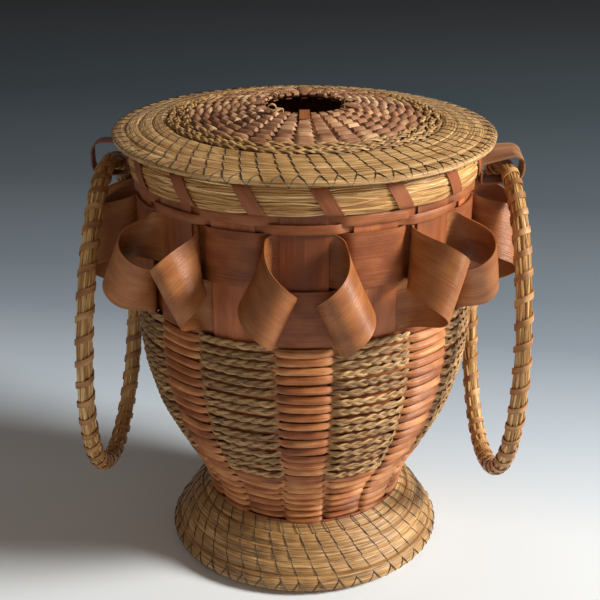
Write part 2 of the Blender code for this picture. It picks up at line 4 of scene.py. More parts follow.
import bpy
import numpy as np
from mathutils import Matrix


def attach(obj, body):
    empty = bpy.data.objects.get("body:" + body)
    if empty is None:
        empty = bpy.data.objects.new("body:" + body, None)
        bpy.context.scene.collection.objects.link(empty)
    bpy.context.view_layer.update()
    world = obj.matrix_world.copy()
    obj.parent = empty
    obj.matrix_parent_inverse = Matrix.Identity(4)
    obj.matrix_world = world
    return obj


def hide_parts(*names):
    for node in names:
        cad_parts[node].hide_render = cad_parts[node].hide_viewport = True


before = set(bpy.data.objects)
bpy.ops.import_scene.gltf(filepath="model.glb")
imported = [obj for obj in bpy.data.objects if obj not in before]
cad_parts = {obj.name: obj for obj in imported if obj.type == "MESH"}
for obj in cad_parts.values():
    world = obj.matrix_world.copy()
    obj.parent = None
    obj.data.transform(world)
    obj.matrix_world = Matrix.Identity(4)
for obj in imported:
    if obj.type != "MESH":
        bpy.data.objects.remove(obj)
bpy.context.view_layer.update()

# Foot
# One long bundle of sweetgrass, wound in five rows that flare out from under the floor. It dries
# to a golden straw with greenish and brown blades among it, which run along the rows.

FULL_TURN = math.tau
FOOT_RADIUS = 0.0718
FOOT_NECK = 0.0514
FOOT_HEIGHT = 0.0284
FOOT_BULGE = 0.0024
FOOT_LIFT = 0.0022
FOOT_LEAN = math.radians(13)
FOOT_LENGTH = math.hypot(FOOT_RADIUS - FOOT_NECK, FOOT_HEIGHT)
COIL_START = math.pi
CROSSING = 0.17
END_SHARE = 0.3
ROW_OVERLAP = 0.0008
BLADE_SIDES = 24
BLADE_STEPS = 9
FLATNESS = 0.32
STITCH_PULL = 0.15


def soft(share):
    share = np.clip(share, 0.0, 1.0)
    return share * share * (3.0 - 2.0 * share)


def around(angle, radius, height):
    # Points round the basket's axis, angles from the front towards +X
    angle, radius, height = np.broadcast_arrays(angle, radius, height)
    return np.stack((radius * np.sin(angle), -radius * np.cos(angle), height), axis=-1)


def unit(vectors):
    return vectors / np.linalg.norm(vectors, axis=-1, keepdims=True)


def node_at(tree, kind, inputs=None, **values):
    # Each of its inputs is linked to another node's output or takes a plain value
    node = tree.nodes.new(kind)
    for key, value in values.items():
        setattr(node, key, value)
    for key, source in (inputs or {}).items():
        if isinstance(source, bpy.types.NodeSocket):
            tree.links.new(source, node.inputs[key])
        else:
            node.inputs[key].default_value = source
    return node


def spread(tree, factor, low, high):
    inputs = {"Value": factor, "From Min": low, "From Max": high}
    return node_at(tree, "ShaderNodeMapRange", inputs).outputs["Result"]


def streaks(tree, place, scales, detail, roughness=0.5, reach=None):
    # Noise drawn out along the piece, its scales in cycles per metre. It keeps to its middle
    # values, so what lies within its reach of them is spread over the whole range
    mapped = node_at(tree, "ShaderNodeMapping", {"Vector": place, "Scale": scales})
    factor = node_at(tree, "ShaderNodeTexNoise", {
        "Vector": mapped.outputs["Vector"], "Scale": 1.0, "Detail": detail,
        "Roughness": roughness}).outputs["Fac"]
    return spread(tree, factor, 0.5 - reach, 0.5 + reach) if reach else factor


def calculate(tree, kind, first, second):
    return node_at(tree, "ShaderNodeMath", {0: first, 1: second}, operation=kind).outputs["Value"]


def weigh(tree, *parts):
    # A sum of factors, each with its weight
    total = calculate(tree, "MULTIPLY", *parts[0])
    for part in parts[1:]:
        total = calculate(tree, "ADD", total, calculate(tree, "MULTIPLY", *part))
    return total


def ramp(tree, factor, stops):
    node = node_at(tree, "ShaderNodeValToRGB", {"Fac": factor})
    elements = node.color_ramp.elements
    while len(elements) < len(stops):
        elements.new(0.5)
    for element, (place, color) in zip(elements, stops):
        element.position = place
        element.color = (*color, 1.0)
    return node.outputs["Color"]


def darken(tree, color, kind, factor, limit, share, shade):
    # Where the factor passes its limit, a share of the darker shade is multiplied in
    where = calculate(tree, "MULTIPLY", calculate(tree, kind, factor, limit), share)
    inputs = {0: where, 6: color, 7: (*shade, 1.0)}
    return node_at(
        tree, "ShaderNodeMix", inputs, data_type="RGBA", blend_type="MULTIPLY").outputs[2]


def new_finish(name, roughness):
    finish = bpy.data.materials.new(name)
    finish.use_nodes = True
    shader = finish.node_tree.nodes["Principled BSDF"]
    shader.inputs["Roughness"].default_value = roughness
    shader.inputs["Metallic"].default_value = 0.0
    return finish, finish.node_tree, shader


def place_and_tint(tree, coordinate):
    # A point's place on its piece, and the piece's own shade from 0 to 1
    place = node_at(tree, "ShaderNodeTexCoord").outputs[coordinate]
    return place, node_at(tree, "ShaderNodeAttribute", attribute_name="tint").outputs["Fac"]


def give_bump(tree, shader, height, strength, distance):
    bump = node_at(
        tree, "ShaderNodeBump", {"Height": height, "Strength": strength, "Distance": distance})
    tree.links.new(bump.outputs["Normal"], shader.inputs["Normal"])


def grass_finish(name, deep, middle, pale, roughness, blade):
    # UV runs along and across the bundle in metres
    finish, tree, shader = new_finish(name, roughness)
    place, tint = place_and_tint(tree, "UV")
    blades = streaks(tree, place, (45.0, blade, 1.0), 2.5, 0.6, 0.17)
    fibres = streaks(tree, place, (70.0, 2.6 * blade, 1.0), 1.0, reach=0.20)
    cloud = streaks(tree, place, (25.0, 160.0, 1.0), 2.0, reach=0.16)
    shade = weigh(tree, (blades, 0.40), (fibres, 0.14), (cloud, 0.16), (tint, 0.30))
    color = ramp(tree, shade, ((0.20, deep), (0.50, middle), (0.80, pale)))
    # Painted shade: where the fibre noise is lowest, a darker colour is multiplied in to stand for
    # the shade in the gaps between the blades
    color = darken(tree, color, "LESS_THAN", fibres, 0.16, 0.45, (0.40, 0.28, 0.16))
    tree.links.new(color, shader.inputs["Base Color"])
    give_bump(tree, shader, weigh(tree, (blades, 0.7), (fibres, 0.3)), 0.5, 0.0005)
    return finish


coil_grass = grass_finish(
    "coil_grass", (0.15, 0.066, 0.018), (0.44, 0.240, 0.082), (0.82, 0.56, 0.26), 0.48, 1250.0)


def select(*pieces):
    bpy.ops.object.select_all(action="DESELECT")
    for piece in pieces:
        piece.select_set(True)
    bpy.context.view_layer.objects.active = pieces[0]


def face_outwards(merge=False):
    bpy.ops.object.mode_set(mode="EDIT")
    bpy.ops.mesh.select_all(action="SELECT")
    if merge:
        bpy.ops.mesh.remove_doubles(threshold=0.00001)
    bpy.ops.mesh.normals_make_consistent(inside=False)
    bpy.ops.object.mode_set(mode="OBJECT")


def set_tint(piece, value):
    # One shade for the whole piece, or one for each of its points
    tint = piece.data.attributes.new("tint", "FLOAT", "POINT")
    values = np.broadcast_to(value, len(piece.data.vertices)).astype(np.float32)
    tint.data.foreach_set("value", values)


def loft_tubes(tubes, finish):
    # Tubes given by their rings of points: (rings, closed, tint, where its pattern starts)
    points, faces, uvs, tints = [], [], [], []
    base = 0
    for rings, closed, tint, pattern in tubes:
        count, sides = rings.shape[:2]
        middle = rings.mean(axis=1)
        steps = np.linalg.norm(np.diff(middle, axis=0, append=middle[:1]), axis=1)
        run = np.concatenate(([0.0], np.cumsum(steps)))
        widest = rings[count // 2]
        girth = np.linalg.norm(np.diff(widest, axis=0, append=widest[:1]), axis=1).sum()
        points.append(rings.reshape(-1, 3))
        spans = count if closed else count - 1
        i = np.repeat(np.arange(spans), sides)
        j = np.tile(np.arange(sides), spans)
        here, ahead = i * sides, (i + 1) % count * sides
        beside = (j + 1) % sides
        quads = np.stack((here + j, ahead + j, ahead + beside, here + beside), axis=1)
        faces += (quads + base).tolist()
        u = np.stack((run[i], run[i + 1], run[i + 1], run[i]), axis=1)
        v = np.stack((j, j, j + 1, j + 1), axis=1) / sides * girth + pattern
        uvs.append(np.stack((u, v), axis=-1).reshape(-1, 2))
        last = base + (count - 1) * sides
        if not closed:
            faces += [list(range(base, base + sides)), list(range(last, last + sides))[::-1]]
            uvs.append(np.full((2 * sides, 2), pattern))
        tints.append(np.full(count * sides, tint))
        base += count * sides
    mesh = bpy.data.meshes.new("tubes")
    mesh.from_pydata(np.concatenate(points).tolist(), [], faces)
    mesh.uv_layers.new(name="UVMap").data.foreach_set("uv", np.concatenate(uvs).ravel())
    piece = bpy.data.objects.new("tubes", mesh)
    set_tint(piece, np.concatenate(tints))
    bpy.context.collection.objects.link(piece)
    select(piece)
    face_outwards()
    bpy.ops.object.shade_smooth_by_angle(angle=math.radians(60))
    mesh.materials.append(finish)
    return piece


def gather(name, pieces, body, slot, *nodes):
    # Like pieces become one, which rides on its body and stands for its nodes
    select(*pieces)
    if len(pieces) > 1:
        bpy.ops.object.join()
    whole = bpy.context.view_layer.objects.active
    whole.name = name
    whole.data.name = name
    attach(whole, body)
    if nodes:
        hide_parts(*nodes)


# Its profile gives radius and height at a distance from the outer edge, its length runs across
# the rows, and its edge is how thick the outermost row is beside the others
Coil = namedtuple("Coil", "profile length rows thickness edge lean stitches")


def foot_profile(along):
    share = along / FOOT_LENGTH
    bow = 4 * FOOT_BULGE * share * (1 - share)
    radius = FOOT_RADIUS + (FOOT_NECK - FOOT_RADIUS) * share + bow * FOOT_HEIGHT / FOOT_LENGTH
    rise = bow * (FOOT_RADIUS - FOOT_NECK) / FOOT_LENGTH
    return radius, FOOT_LIFT + FOOT_HEIGHT * share + rise


def foot_lean(angle, outward):
    return FOOT_LEAN * (outward - 1.0)


foot_coil = Coil(
    foot_profile, FOOT_LENGTH, rows=5, thickness=0.0054, edge=1.32, lean=foot_lean, stitches=45)


def way_and_out(run, rise):
    # Directions along a profile and out from it, each as radius and height
    way = unit(np.stack(np.broadcast_arrays(run, rise), axis=-1))
    return way, np.stack((way[..., 1], -way[..., 0]), axis=-1)


def coil_frame(coil, along):
    reach = coil.length / coil.rows / 2
    ahead = coil.profile(along + reach)
    behind = coil.profile(along - reach)
    return (*coil.profile(along), *way_and_out(ahead[0] - behind[0], ahead[1] - behind[1]))


def set_off(radius, height, way, out, across, reach):
    # Radii and heights set off from a line, along the profile and out from it
    return (
        radius[:, None] + way[:, 0:1] * across + out[:, 0:1] * reach,
        height[:, None] + way[:, 1:2] * across + out[:, 1:2] * reach)


def row_edge(coil, turns):
    # How far the spiral's edge lies from the outer edge. It crosses to the next row at the back
    whole = np.floor(turns)
    crossing = soft((turns - whole - 1 + CROSSING) / CROSSING)
    return np.clip(coil.length - coil.length / coil.rows * (whole + crossing), 0.0, coil.length)


def edge_swell(coil, middle):
    return 1 + (coil.edge - 1) * soft(1.5 - middle * coil.rows / coil.length)


def wind_coil(coil, steps, seed, end_slack=0.0, floor=None):
    rng = np.random.default_rng(seed)
    pitch = coil.length / coil.rows
    first = -CROSSING * (1 - END_SHARE)
    last = coil.rows - CROSSING * END_SHARE
    count = round((last - first) * steps)
    turns = np.linspace(first, last, count + 1)
    upper = row_edge(coil, turns)
    lower = row_edge(coil, turns + 1)
    half = (upper - lower + ROW_OVERLAP) / 2
    middle = (upper + lower) / 2
    radius, height, way, out = coil_frame(coil, middle)
    angle = COIL_START + FULL_TURN * turns
    # Blades make ridges along the row, which shift a little every centimetre or two
    knots = max(4, count // BLADE_STEPS)
    blades = rng.uniform(-1.0, 1.0, (knots, BLADE_SIDES))
    at = np.linspace(0, knots - 1, count + 1)
    ridge = np.stack([np.interp(at, np.arange(knots), blade) for blade in blades.T], axis=1)
    # Where a stitch crosses, the row is drawn in
    to_stitch = (angle - coil.lean(angle, 1 - middle / coil.length)) / FULL_TURN * coil.stitches
    from_stitch = np.abs(to_stitch - np.round(to_stitch)) * FULL_TURN / coil.stitches * radius
    depth = np.sqrt(np.maximum(half, 0.0001) / ((pitch + ROW_OVERLAP) / 2))
    depth = coil.thickness / 2 * depth * (1 - STITCH_PULL * np.exp(-(from_stitch / 0.0010) ** 2))
    depth = depth * edge_swell(coil, middle)
    depth = depth * (1 - end_slack * soft(middle / pitch - coil.rows + 1.6))
    spin = FULL_TURN * np.arange(BLADE_SIDES) / BLADE_SIDES
    across = half[:, None] * np.cos(spin) * (1 + 0.015 * ridge)
    oval = np.sign(np.sin(spin)) * np.abs(np.sin(spin)) ** FLATNESS
    lift = depth[:, None] * oval * (1 + 0.07 * ridge)
    ring_radius, ring_height = set_off(radius, height, way, out, across, lift)
    if floor is not None:
        # The outermost row stands on the table
        under = (np.sin(spin) < -0.4) * soft(1.5 - middle / pitch)[:, None]
        ring_height = np.maximum(ring_height + (floor - ring_height) * under, floor)
    return around(angle[:, None], ring_radius, ring_height)


foot_rings = wind_coil(foot_coil, steps=190, seed=3, end_slack=0.35, floor=0.0)
foot = loft_tubes([(foot_rings, False, 0.30, 3.0)], coil_grass)
gather("foot_grass_coil", [foot], "basket", "sweetgrass", "foot_coil")

# Foot stitches
# Forty-five stitches of dark thread run up the foot, each leaning the same way, and sew row to
# row. At the edge every stitch forks to its neighbours' forks and goes round the rim of the foot.

EDGE_SHARE = 0.64
STITCH_STEP = 0.0009
FOOT_THREAD = 0.00056
THREAD_FLOOR = 0.0004


def row_lift(coil, along, angle):
    # How far the rows stand out from the middle layer at a place on the coil
    turn = (angle - COIL_START) / FULL_TURN % 1.0
    edges = np.stack([row_edge(coil, turn + k) for k in range(-1, coil.rows + 1)])
    row = np.clip((edges >= along).sum(axis=0) - 1, 0, coil.rows)
    upper = np.take_along_axis(edges, row[None], axis=0)[0]
    lower = np.take_along_axis(edges, np.minimum(row + 1, coil.rows + 1)[None], axis=0)[0]
    middle = (upper + lower) / 2
    share = np.clip((along - middle) / np.maximum((upper - lower) / 2, 0.0004), -1, 1)
    oval = np.maximum(np.maximum(1 - share ** 2, 0.0) ** (FLATNESS / 2), 0.66)
    return coil.thickness / 2 * oval * edge_swell(coil, middle)


def stitch_lines(coil, lift, fork, under, seed):
    # Each thread ends at its fork, and the forks end a little under the edge
    rng = np.random.default_rng(seed)

    def on_coil(along, angle, stand):
        radius, height, way, out = coil_frame(coil, along)
        return around(angle, radius + out[:, 0] * stand, height + out[:, 1] * stand)

    lines = []
    ends = []
    pitch = FULL_TURN / coil.stitches
    along = np.linspace(coil.length - 0.0006, fork, 44)
    for k in range(coil.stitches):
        outer = pitch * k + rng.uniform(-0.07, 0.07) * pitch
        angle = outer + coil.lean(outer, 1 - along / coil.length)
        # The thread slants over each row and starts the next one a little farther back
        slant = 0.5 - along * coil.rows / coil.length % 1.0
        angle = angle + STITCH_STEP / coil.profile(along)[0] * slant
        lines.append(on_coil(along, angle, row_lift(coil, along, angle) * 0.90 + lift))
        ends.append(angle[-1])
    share = np.linspace(0.0, 1.0, 20)
    along = np.where(share < EDGE_SHARE, fork * (1 - share / EDGE_SHARE), -0.0001)
    round_edge = np.clip((share - EDGE_SHARE) / (1 - EDGE_SHARE), 0.0, 1.0)
    for k in range(coil.stitches):
        for side in (-1, 1):
            gap = (ends[(k + side) % coil.stitches] - ends[k] + math.pi) % FULL_TURN - math.pi
            angle = ends[k] + gap / 2 * share
            stand = row_lift(coil, np.maximum(along, 0.0), angle) * 0.97 + lift
            lines.append(on_coil(along, angle, stand * (1 - round_edge) - under * round_edge))
    return lines


dark_thread, tree, shader = new_finish("dark_thread", 0.62)
place = node_at(tree, "ShaderNodeTexCoord").outputs["Object"]
twist = streaks(tree, place, (700.0, 700.0, 700.0), 1.0)
twist_color = ramp(tree, twist, ((0.35, (0.034, 0.025, 0.014)), (0.7, (0.105, 0.076, 0.045))))
tree.links.new(twist_color, shader.inputs["Base Color"])
give_bump(tree, shader, twist, 0.4, 0.0003)


def sew(name, lines, thickness, body):
    # Thread along lines of points, as one bevelled curve made a mesh
    curve = bpy.data.curves.new(name, "CURVE")
    curve.dimensions = "3D"
    curve.bevel_depth = thickness / 2
    curve.bevel_resolution = 1
    curve.use_fill_caps = True
    for points in lines:
        spline = curve.splines.new("POLY")
        spline.points.add(len(points) - 1)
        spline.points.foreach_set("co", np.hstack((points, np.ones((len(points), 1)))).ravel())
        spline.use_smooth = True
    piece = bpy.data.objects.new(name, curve)
    bpy.context.collection.objects.link(piece)
    select(piece)
    bpy.ops.object.convert(target="MESH")
    piece = bpy.context.object
    piece.data.materials.clear()
    piece.data.materials.append(dark_thread)
    gather(name, [piece], body, "sweetgrass")


foot_thread = stitch_lines(foot_coil, lift=0.00018, fork=0.0044, under=0.0010, seed=11)
foot_thread = [np.maximum(line, (-1.0, -1.0, THREAD_FLOOR)) for line in foot_thread]
sew("foot_stitches", foot_thread, FOOT_THREAD, "basket")

# Floor
# A round of tight ash splint rows carries the ball of yarn, with the uprights crossing under it.
# The splints are stained a reddish brown that has faded unevenly, their grain lengthwise.

COLUMN_PAIR = FULL_TURN / 8
SPLINT_THICKNESS = 0.0006
FLOOR_HEIGHT = 0.0307
FLOOR_MIDDLE = 0.0030
FLOOR_PITCH = 0.0042
FLOOR_ROW = 0.0039
FLOOR_WAVE = 0.0004


def splint_finish(name, deep, middle, pale, roughness, grain_share=0.26, coordinate="UV"):
    # UV runs along and across the splint in metres, Object is for splints that stand upright
    finish, tree, shader = new_finish(name, roughness)
    place, tint = place_and_tint(tree, coordinate)
    shader.inputs["Specular IOR Level"].default_value = 0.35
    along = (35.0, 1900.0, 1.0) if coordinate == "UV" else (1500.0, 1500.0, 30.0)
    broad = (70.0, 140.0, 1.0) if coordinate == "UV" else (90.0, 90.0, 25.0)
    grain = streaks(tree, place, along, 3.0, 0.65, 0.16)
    cloud = streaks(tree, place, broad, 2.0, reach=0.16)
    pores = streaks(tree, place, tuple(3.1 * scale for scale in along), 1.0)
    shade = weigh(tree, (grain, grain_share), (cloud, 0.52 - grain_share), (tint, 0.44))
    color = ramp(tree, shade, ((0.14, deep), (0.48, middle), (0.84, pale)))
    color = darken(tree, color, "GREATER_THAN", pores, 0.66, 0.28, (0.45, 0.30, 0.25))
    tree.links.new(color, shader.inputs["Base Color"])
    give_bump(tree, shader, grain, 1.3 * grain_share, 0.0004)
    return finish


wall_splint = splint_finish(
    "wall_splint", (0.175, 0.046, 0.013), (0.41, 0.142, 0.045), (0.74, 0.36, 0.145), 0.42)


def bend_splint(surface, size, thickness, finish, tint, closed=True, start=(0.0, 0.0)):
    # A flat split is laid out as a grid, bent on to its surface and given its thickness. Size
    # and start give the stretch of wood it is cut from
    along = surface.shape[0] - 1
    across = surface.shape[1] - 1
    bpy.ops.mesh.primitive_grid_add(x_subdivisions=along, y_subdivisions=across, size=1.0)
    piece = bpy.context.object
    mesh = piece.data
    flat = np.empty(3 * len(mesh.vertices))
    mesh.vertices.foreach_get("co", flat)
    flat = flat.reshape(-1, 3)
    run = np.rint((flat[:, 0] + 0.5) * along).astype(int)
    rise = np.rint((flat[:, 1] + 0.5) * across).astype(int)
    mesh.vertices.foreach_set("co", surface[run, rise].ravel())
    corner = np.empty(len(mesh.loops), dtype=int)
    mesh.loops.foreach_get("vertex_index", corner)
    u = run[corner] / along * size[0] + start[0]
    v = rise[corner] / across * size[1] + start[1]
    mesh.uv_layers[0].data.foreach_set("uv", np.stack((u, v), axis=1).ravel())
    set_tint(piece, tint[run] if np.ndim(tint) else tint)
    if closed:
        face_outwards(merge=True)
    wall = piece.modifiers.new("thickness", "SOLIDIFY")
    wall.thickness = thickness
    wall.offset = 0.0
    bpy.ops.object.modifier_apply(modifier="thickness")
    bpy.ops.object.shade_smooth_by_angle(angle=math.radians(42))
    mesh.materials.append(finish)
    return piece


def over_under(angle, first, over_half, turn_half, pair=COLUMN_PAIR):
    # 1 where a row lies outside its upright, -1 where it lies inside the next one, and how far
    # it bows out over the first, from 0 to 1
    away = np.abs((angle - first + pair / 2) % pair - pair / 2)
    over = 1 - 2 * soft((away - over_half + turn_half) / (2 * turn_half))
    return over, np.clip(1 - (away / over_half) ** 2, 0.0, 1.0)


floor_rows = []
floor_draw = np.random.default_rng(31)
angle = np.linspace(-math.pi, math.pi, 129)
for k in range(11):
    radius = FLOOR_MIDDLE + FLOOR_PITCH * (k + 0.5)
    over, bow = over_under(
        angle, COLUMN_PAIR / 2 * (k % 2), math.radians(11.2), math.radians(4.5))
    across = np.linspace(-0.5, 0.5, 3) * FLOOR_ROW
    surface = around(
        angle[:, None], radius + across, (FLOOR_HEIGHT + FLOOR_WAVE * over)[:, None])
    floor_rows.append(bend_splint(
        surface, (FULL_TURN * radius, FLOOR_ROW), SPLINT_THICKNESS, wall_splint,
        floor_draw.uniform(0.1, 0.8), start=(0.4 * k, 0.1 * k)))
bpy.ops.mesh.primitive_cylinder_add(
    vertices=32, radius=FLOOR_MIDDLE, depth=0.0010, location=(0.0, 0.0, FLOOR_HEIGHT))
bpy.ops.object.transform_apply(location=True, rotation=True, scale=True)
floor_middle = bpy.context.object
set_tint(floor_middle, 0.3)
floor_middle.data.materials.append(wall_splint)
floor_rows.append(floor_middle)
gather("floor_rows", floor_rows, "basket", "stained_splint", "base_weave")

# Uprights and spokes
# Plain flat splits of heavier wood, which keep the shape they are built with. They stand in the
# wall and run out under the lid. Every second upright, behind the braids, is of paler wood.

standing_splint = splint_finish(
    "standing_splint", (0.22, 0.062, 0.019), (0.39, 0.125, 0.040), (0.52, 0.200, 0.070), 0.48,
    grain_share=0.10, coordinate="Object")
pale_standing_splint = splint_finish(
    "pale_standing_splint", (0.31, 0.088, 0.027), (0.56, 0.180, 0.058), (0.75, 0.29, 0.102),
    0.48, grain_share=0.10, coordinate="Object")
for name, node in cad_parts.items():
    pale = name.startswith("upright_") and int(name[-2:]) % 2 == 0
    node.data.materials.clear()
    node.data.materials.append(pale_standing_splint if pale else standing_splint)

# Wall
# Narrow splints are woven round sixteen stiff uprights. In every other column sweetgrass
# braids take the outside from the band down to the last seven rows.

UPRIGHTS = 16
UPRIGHT_PITCH = FULL_TURN / UPRIGHTS
HALF_UPRIGHT = 0.0004
WALL_HEIGHTS = np.array((0.0292, 0.0435, 0.0609, 0.0789, 0.0990, 0.1244, 0.1350))
WALL_RADII = np.array((0.0503, 0.0530, 0.0616, 0.0715, 0.0792, 0.0842, 0.0845))
ROW_EDGES = (
    0.1460, 0.1410, 0.1365, 0.1320, 0.1270, 0.1220, 0.1165, 0.1115, 0.1062, 0.1010, 0.0955,
    0.0902, 0.0848, 0.0795, 0.0740, 0.0683, 0.0632, 0.0580, 0.0528, 0.0477, 0.0430, 0.0385,
    0.0342, 0.0300)
BRAID_ROWS = 16
ROW_CROWN = 0.0018
ROW_BOW = 0.00055
BINDING_RADIUS = 0.0528
BINDING_HEIGHT = 0.0306
BINDING_LENGTH = FULL_TURN * 0.0519
BINDING_WIDTH = 0.0028

band_splint = splint_finish(
    "band_splint", (0.150, 0.037, 0.010), (0.27, 0.077, 0.023), (0.40, 0.140, 0.047), 0.44, 0.22)
nearest = np.arange(len(WALL_HEIGHTS))
above = np.minimum(nearest + 1, nearest[-1])
below = np.maximum(nearest - 1, 0)
wall_slopes = (WALL_RADII[above] - WALL_RADII[below]) / (WALL_HEIGHTS[above] - WALL_HEIGHTS[below])


def wall_radius(height):
    # A smooth line through the measured radii
    held = np.clip(height, WALL_HEIGHTS[0], WALL_HEIGHTS[-1])
    k = np.clip(np.searchsorted(WALL_HEIGHTS, held, side="right") - 1, 0, len(WALL_HEIGHTS) - 2)
    share = (held - WALL_HEIGHTS[k]) / (WALL_HEIGHTS[k + 1] - WALL_HEIGHTS[k])
    low = WALL_RADII[k] + wall_slopes[k] * (held - WALL_HEIGHTS[k])
    high = WALL_RADII[k + 1] + wall_slopes[k + 1] * (held - WALL_HEIGHTS[k + 1])
    return low + (high - low) * soft(share)


def wall_frame(height):
    probe = 0.0008
    rise = wall_radius(height + probe) - wall_radius(height - probe)
    return (wall_radius(height), height, *way_and_out(rise, 2 * probe))


def wall_row(k, height, tall, first, over_half, rng):
    angle = np.linspace(-math.pi, math.pi, UPRIGHTS * 12 + 1)
    across = np.linspace(-0.5, 0.5, 7)
    over, bow = over_under(angle, first, over_half, math.radians(2.7))
    squeeze = 1 - 0.26 * (1 - over ** 2) + 0.10 * (over < 0) * over ** 2
    tall = tall * rng.uniform(0.90, 1.08)
    waver = sum(np.sin(angle * order + rng.uniform(0, FULL_TURN)) for order in (3, 7, 12))
    stand = over * (HALF_UPRIGHT + 0.0001 + SPLINT_THICKNESS / 2) + ROW_BOW * bow
    crown = ROW_CROWN * (1 - (2 * across) ** 2)
    reach = stand[:, None] + crown * np.where(over > 0, over, -0.6 * over)[:, None]
    width = across * (tall * squeeze)[:, None]
    surface = around(angle[:, None], *set_off(*wall_frame(height + 0.0002 * waver), width, reach))
    return bend_splint(
        surface, (FULL_TURN * float(wall_radius(height)), tall), SPLINT_THICKNESS, wall_splint,
        rng.uniform(0.1, 0.95), start=(0.7 * k, 0.011 * k))


row_draw = np.random.default_rng(21)
wall_rows = []
braid_heights = []
for k, (top, bottom) in enumerate(zip(ROW_EDGES, ROW_EDGES[1:])):
    low = float(soft((0.070 - top) / 0.02))
    tall = (top - bottom) * (0.80 - 0.07 * low)
    over_half = math.radians(9.3 + 1.9 * low)
    wall_rows.append(wall_row(k, (top + bottom) / 2, tall, 0.0, over_half, row_draw))
    between = top + 0.0002
    if k < BRAID_ROWS:
        braid_heights.append(between)
    else:
        wall_rows.append(wall_row(
            k + 40, between, tall, COLUMN_PAIR / 2, UPRIGHT_PITCH - over_half, row_draw))

# A thin splint binds the foot of the wall
across = np.linspace(-0.5, 0.5, 5)
binding = around(
    angle[:, None], BINDING_RADIUS + 0.0005 * (1 - (2 * across) ** 2),
    (BINDING_HEIGHT + 0.0002 * np.sin(3 * angle))[:, None] + BINDING_WIDTH * across)
wall_rows.append(bend_splint(
    binding, (BINDING_LENGTH, BINDING_WIDTH), SPLINT_THICKNESS, band_splint, tint=0.45,
    start=(3.0, 0.4)))
gather("wall_splint_rows", wall_rows, "basket", "stained_splint", "woven_wall")

# Braids
# Each is three flat strands of sweetgrass plaited tight, about five millimetres wide,
# and woven in as a round of its own.

BRAID_STEPS = 26
BRAID_PERIOD = 0.0185
BRAID_HALF = 0.00100
BRAID_DEPTH = 0.00055
STRAND_HALF = 0.00092
STRAND_FLAT = 0.00060

braid_grass = grass_finish(
    "braid_grass", (0.11, 0.050, 0.015), (0.32, 0.170, 0.056), (0.62, 0.39, 0.16), 0.54, 1300.0)


def tube_rings(path, wide, out, half_wide, half_out, sides):
    # Oval rings round the points of a path, wide and out being its two directions
    spin = FULL_TURN * np.arange(sides) / sides
    half_wide = np.broadcast_to(half_wide, path.shape[:1])[:, None, None]
    half_out = np.broadcast_to(half_out, path.shape[:1])[:, None, None]
    across = wide[:, None, :] * half_wide * np.cos(spin)[None, :, None]
    lift = out[:, None, :] * half_out * np.sin(spin)[None, :, None]
    return path[:, None, :] + across + lift


def plait(angle, radius, height, way, out, stand, periods, squeeze, tint, pattern, settle=None):
    # Three strands that cross by turns over the middle of the braid
    path = around(angle, radius + out[:, 0] * stand, height + out[:, 1] * stand)
    path = settle(path) if settle else path
    side = around(angle, way[:, 0], way[:, 1])
    face = around(angle, out[:, 0], out[:, 1])
    share = np.arange(len(path)) / len(path)
    slip = sum(
        0.05 * np.sin(FULL_TURN * share * order + pattern * 40 * order) for order in (5, 9, 17))
    tubes = []
    for strand in range(3):
        phase = FULL_TURN * (share * periods + strand / 3 + slip)
        middle = path + side * (BRAID_HALF * np.sin(phase) * squeeze)[:, None]
        middle = middle + face * (BRAID_DEPTH * np.sin(2 * phase))[:, None]
        ahead = unit(np.roll(middle, -1, axis=0) - np.roll(middle, 1, axis=0))
        wide = unit(np.cross(face, ahead))
        rings = tube_rings(
            middle, wide, np.cross(ahead, wide), STRAND_HALF * squeeze, STRAND_FLAT, 6)
        tubes.append((rings, True, tint + 0.22 * (strand - 1), pattern + 0.01 * strand))
    return tubes


def wall_braid(k, height, rng):
    steps = UPRIGHTS * BRAID_STEPS
    angle = FULL_TURN * np.arange(steps) / steps - math.pi
    over, bow = over_under(angle, COLUMN_PAIR / 2, math.radians(13.2), math.radians(3.0))
    waver = np.sin(angle * 3 + rng.uniform(0, 6)) + np.sin(angle * 11 + rng.uniform(0, 6))
    stand = np.where(over > 0, 0.00175, 0.00170) * over + 0.0003 * np.clip(over, 0, 1)
    periods = round(FULL_TURN * float(wall_radius(height)) / BRAID_PERIOD)
    return plait(
        angle, *wall_frame(height + 0.0003 * waver), stand, periods,
        1 - 0.12 * (1 - over ** 2), rng.uniform(0.2, 0.8), 0.2 * k)


braids = [wall_braid(k, height, row_draw) for k, height in enumerate(braid_heights)]
for name, group in (("wall_braids_upper", braids[:8]), ("wall_braids_lower", braids[8:])):
    piece = loft_tubes([tube for braid in group for tube in braid], braid_grass)
    gather(name, [piece], "basket", "sweetgrass")

# Band
# Two wide splints and two narrow ones go over and under the uprights above the wall.
# The wide ones are set back inside, where a ribbon comes out beside an upright.

BAND_RADIUS = 0.0845
BAND_THICKNESS = 0.0007
BAND_BOW = 0.0004
WIDE_HALF = math.radians(9.9)
NARROW_HALF = math.radians(11.6)
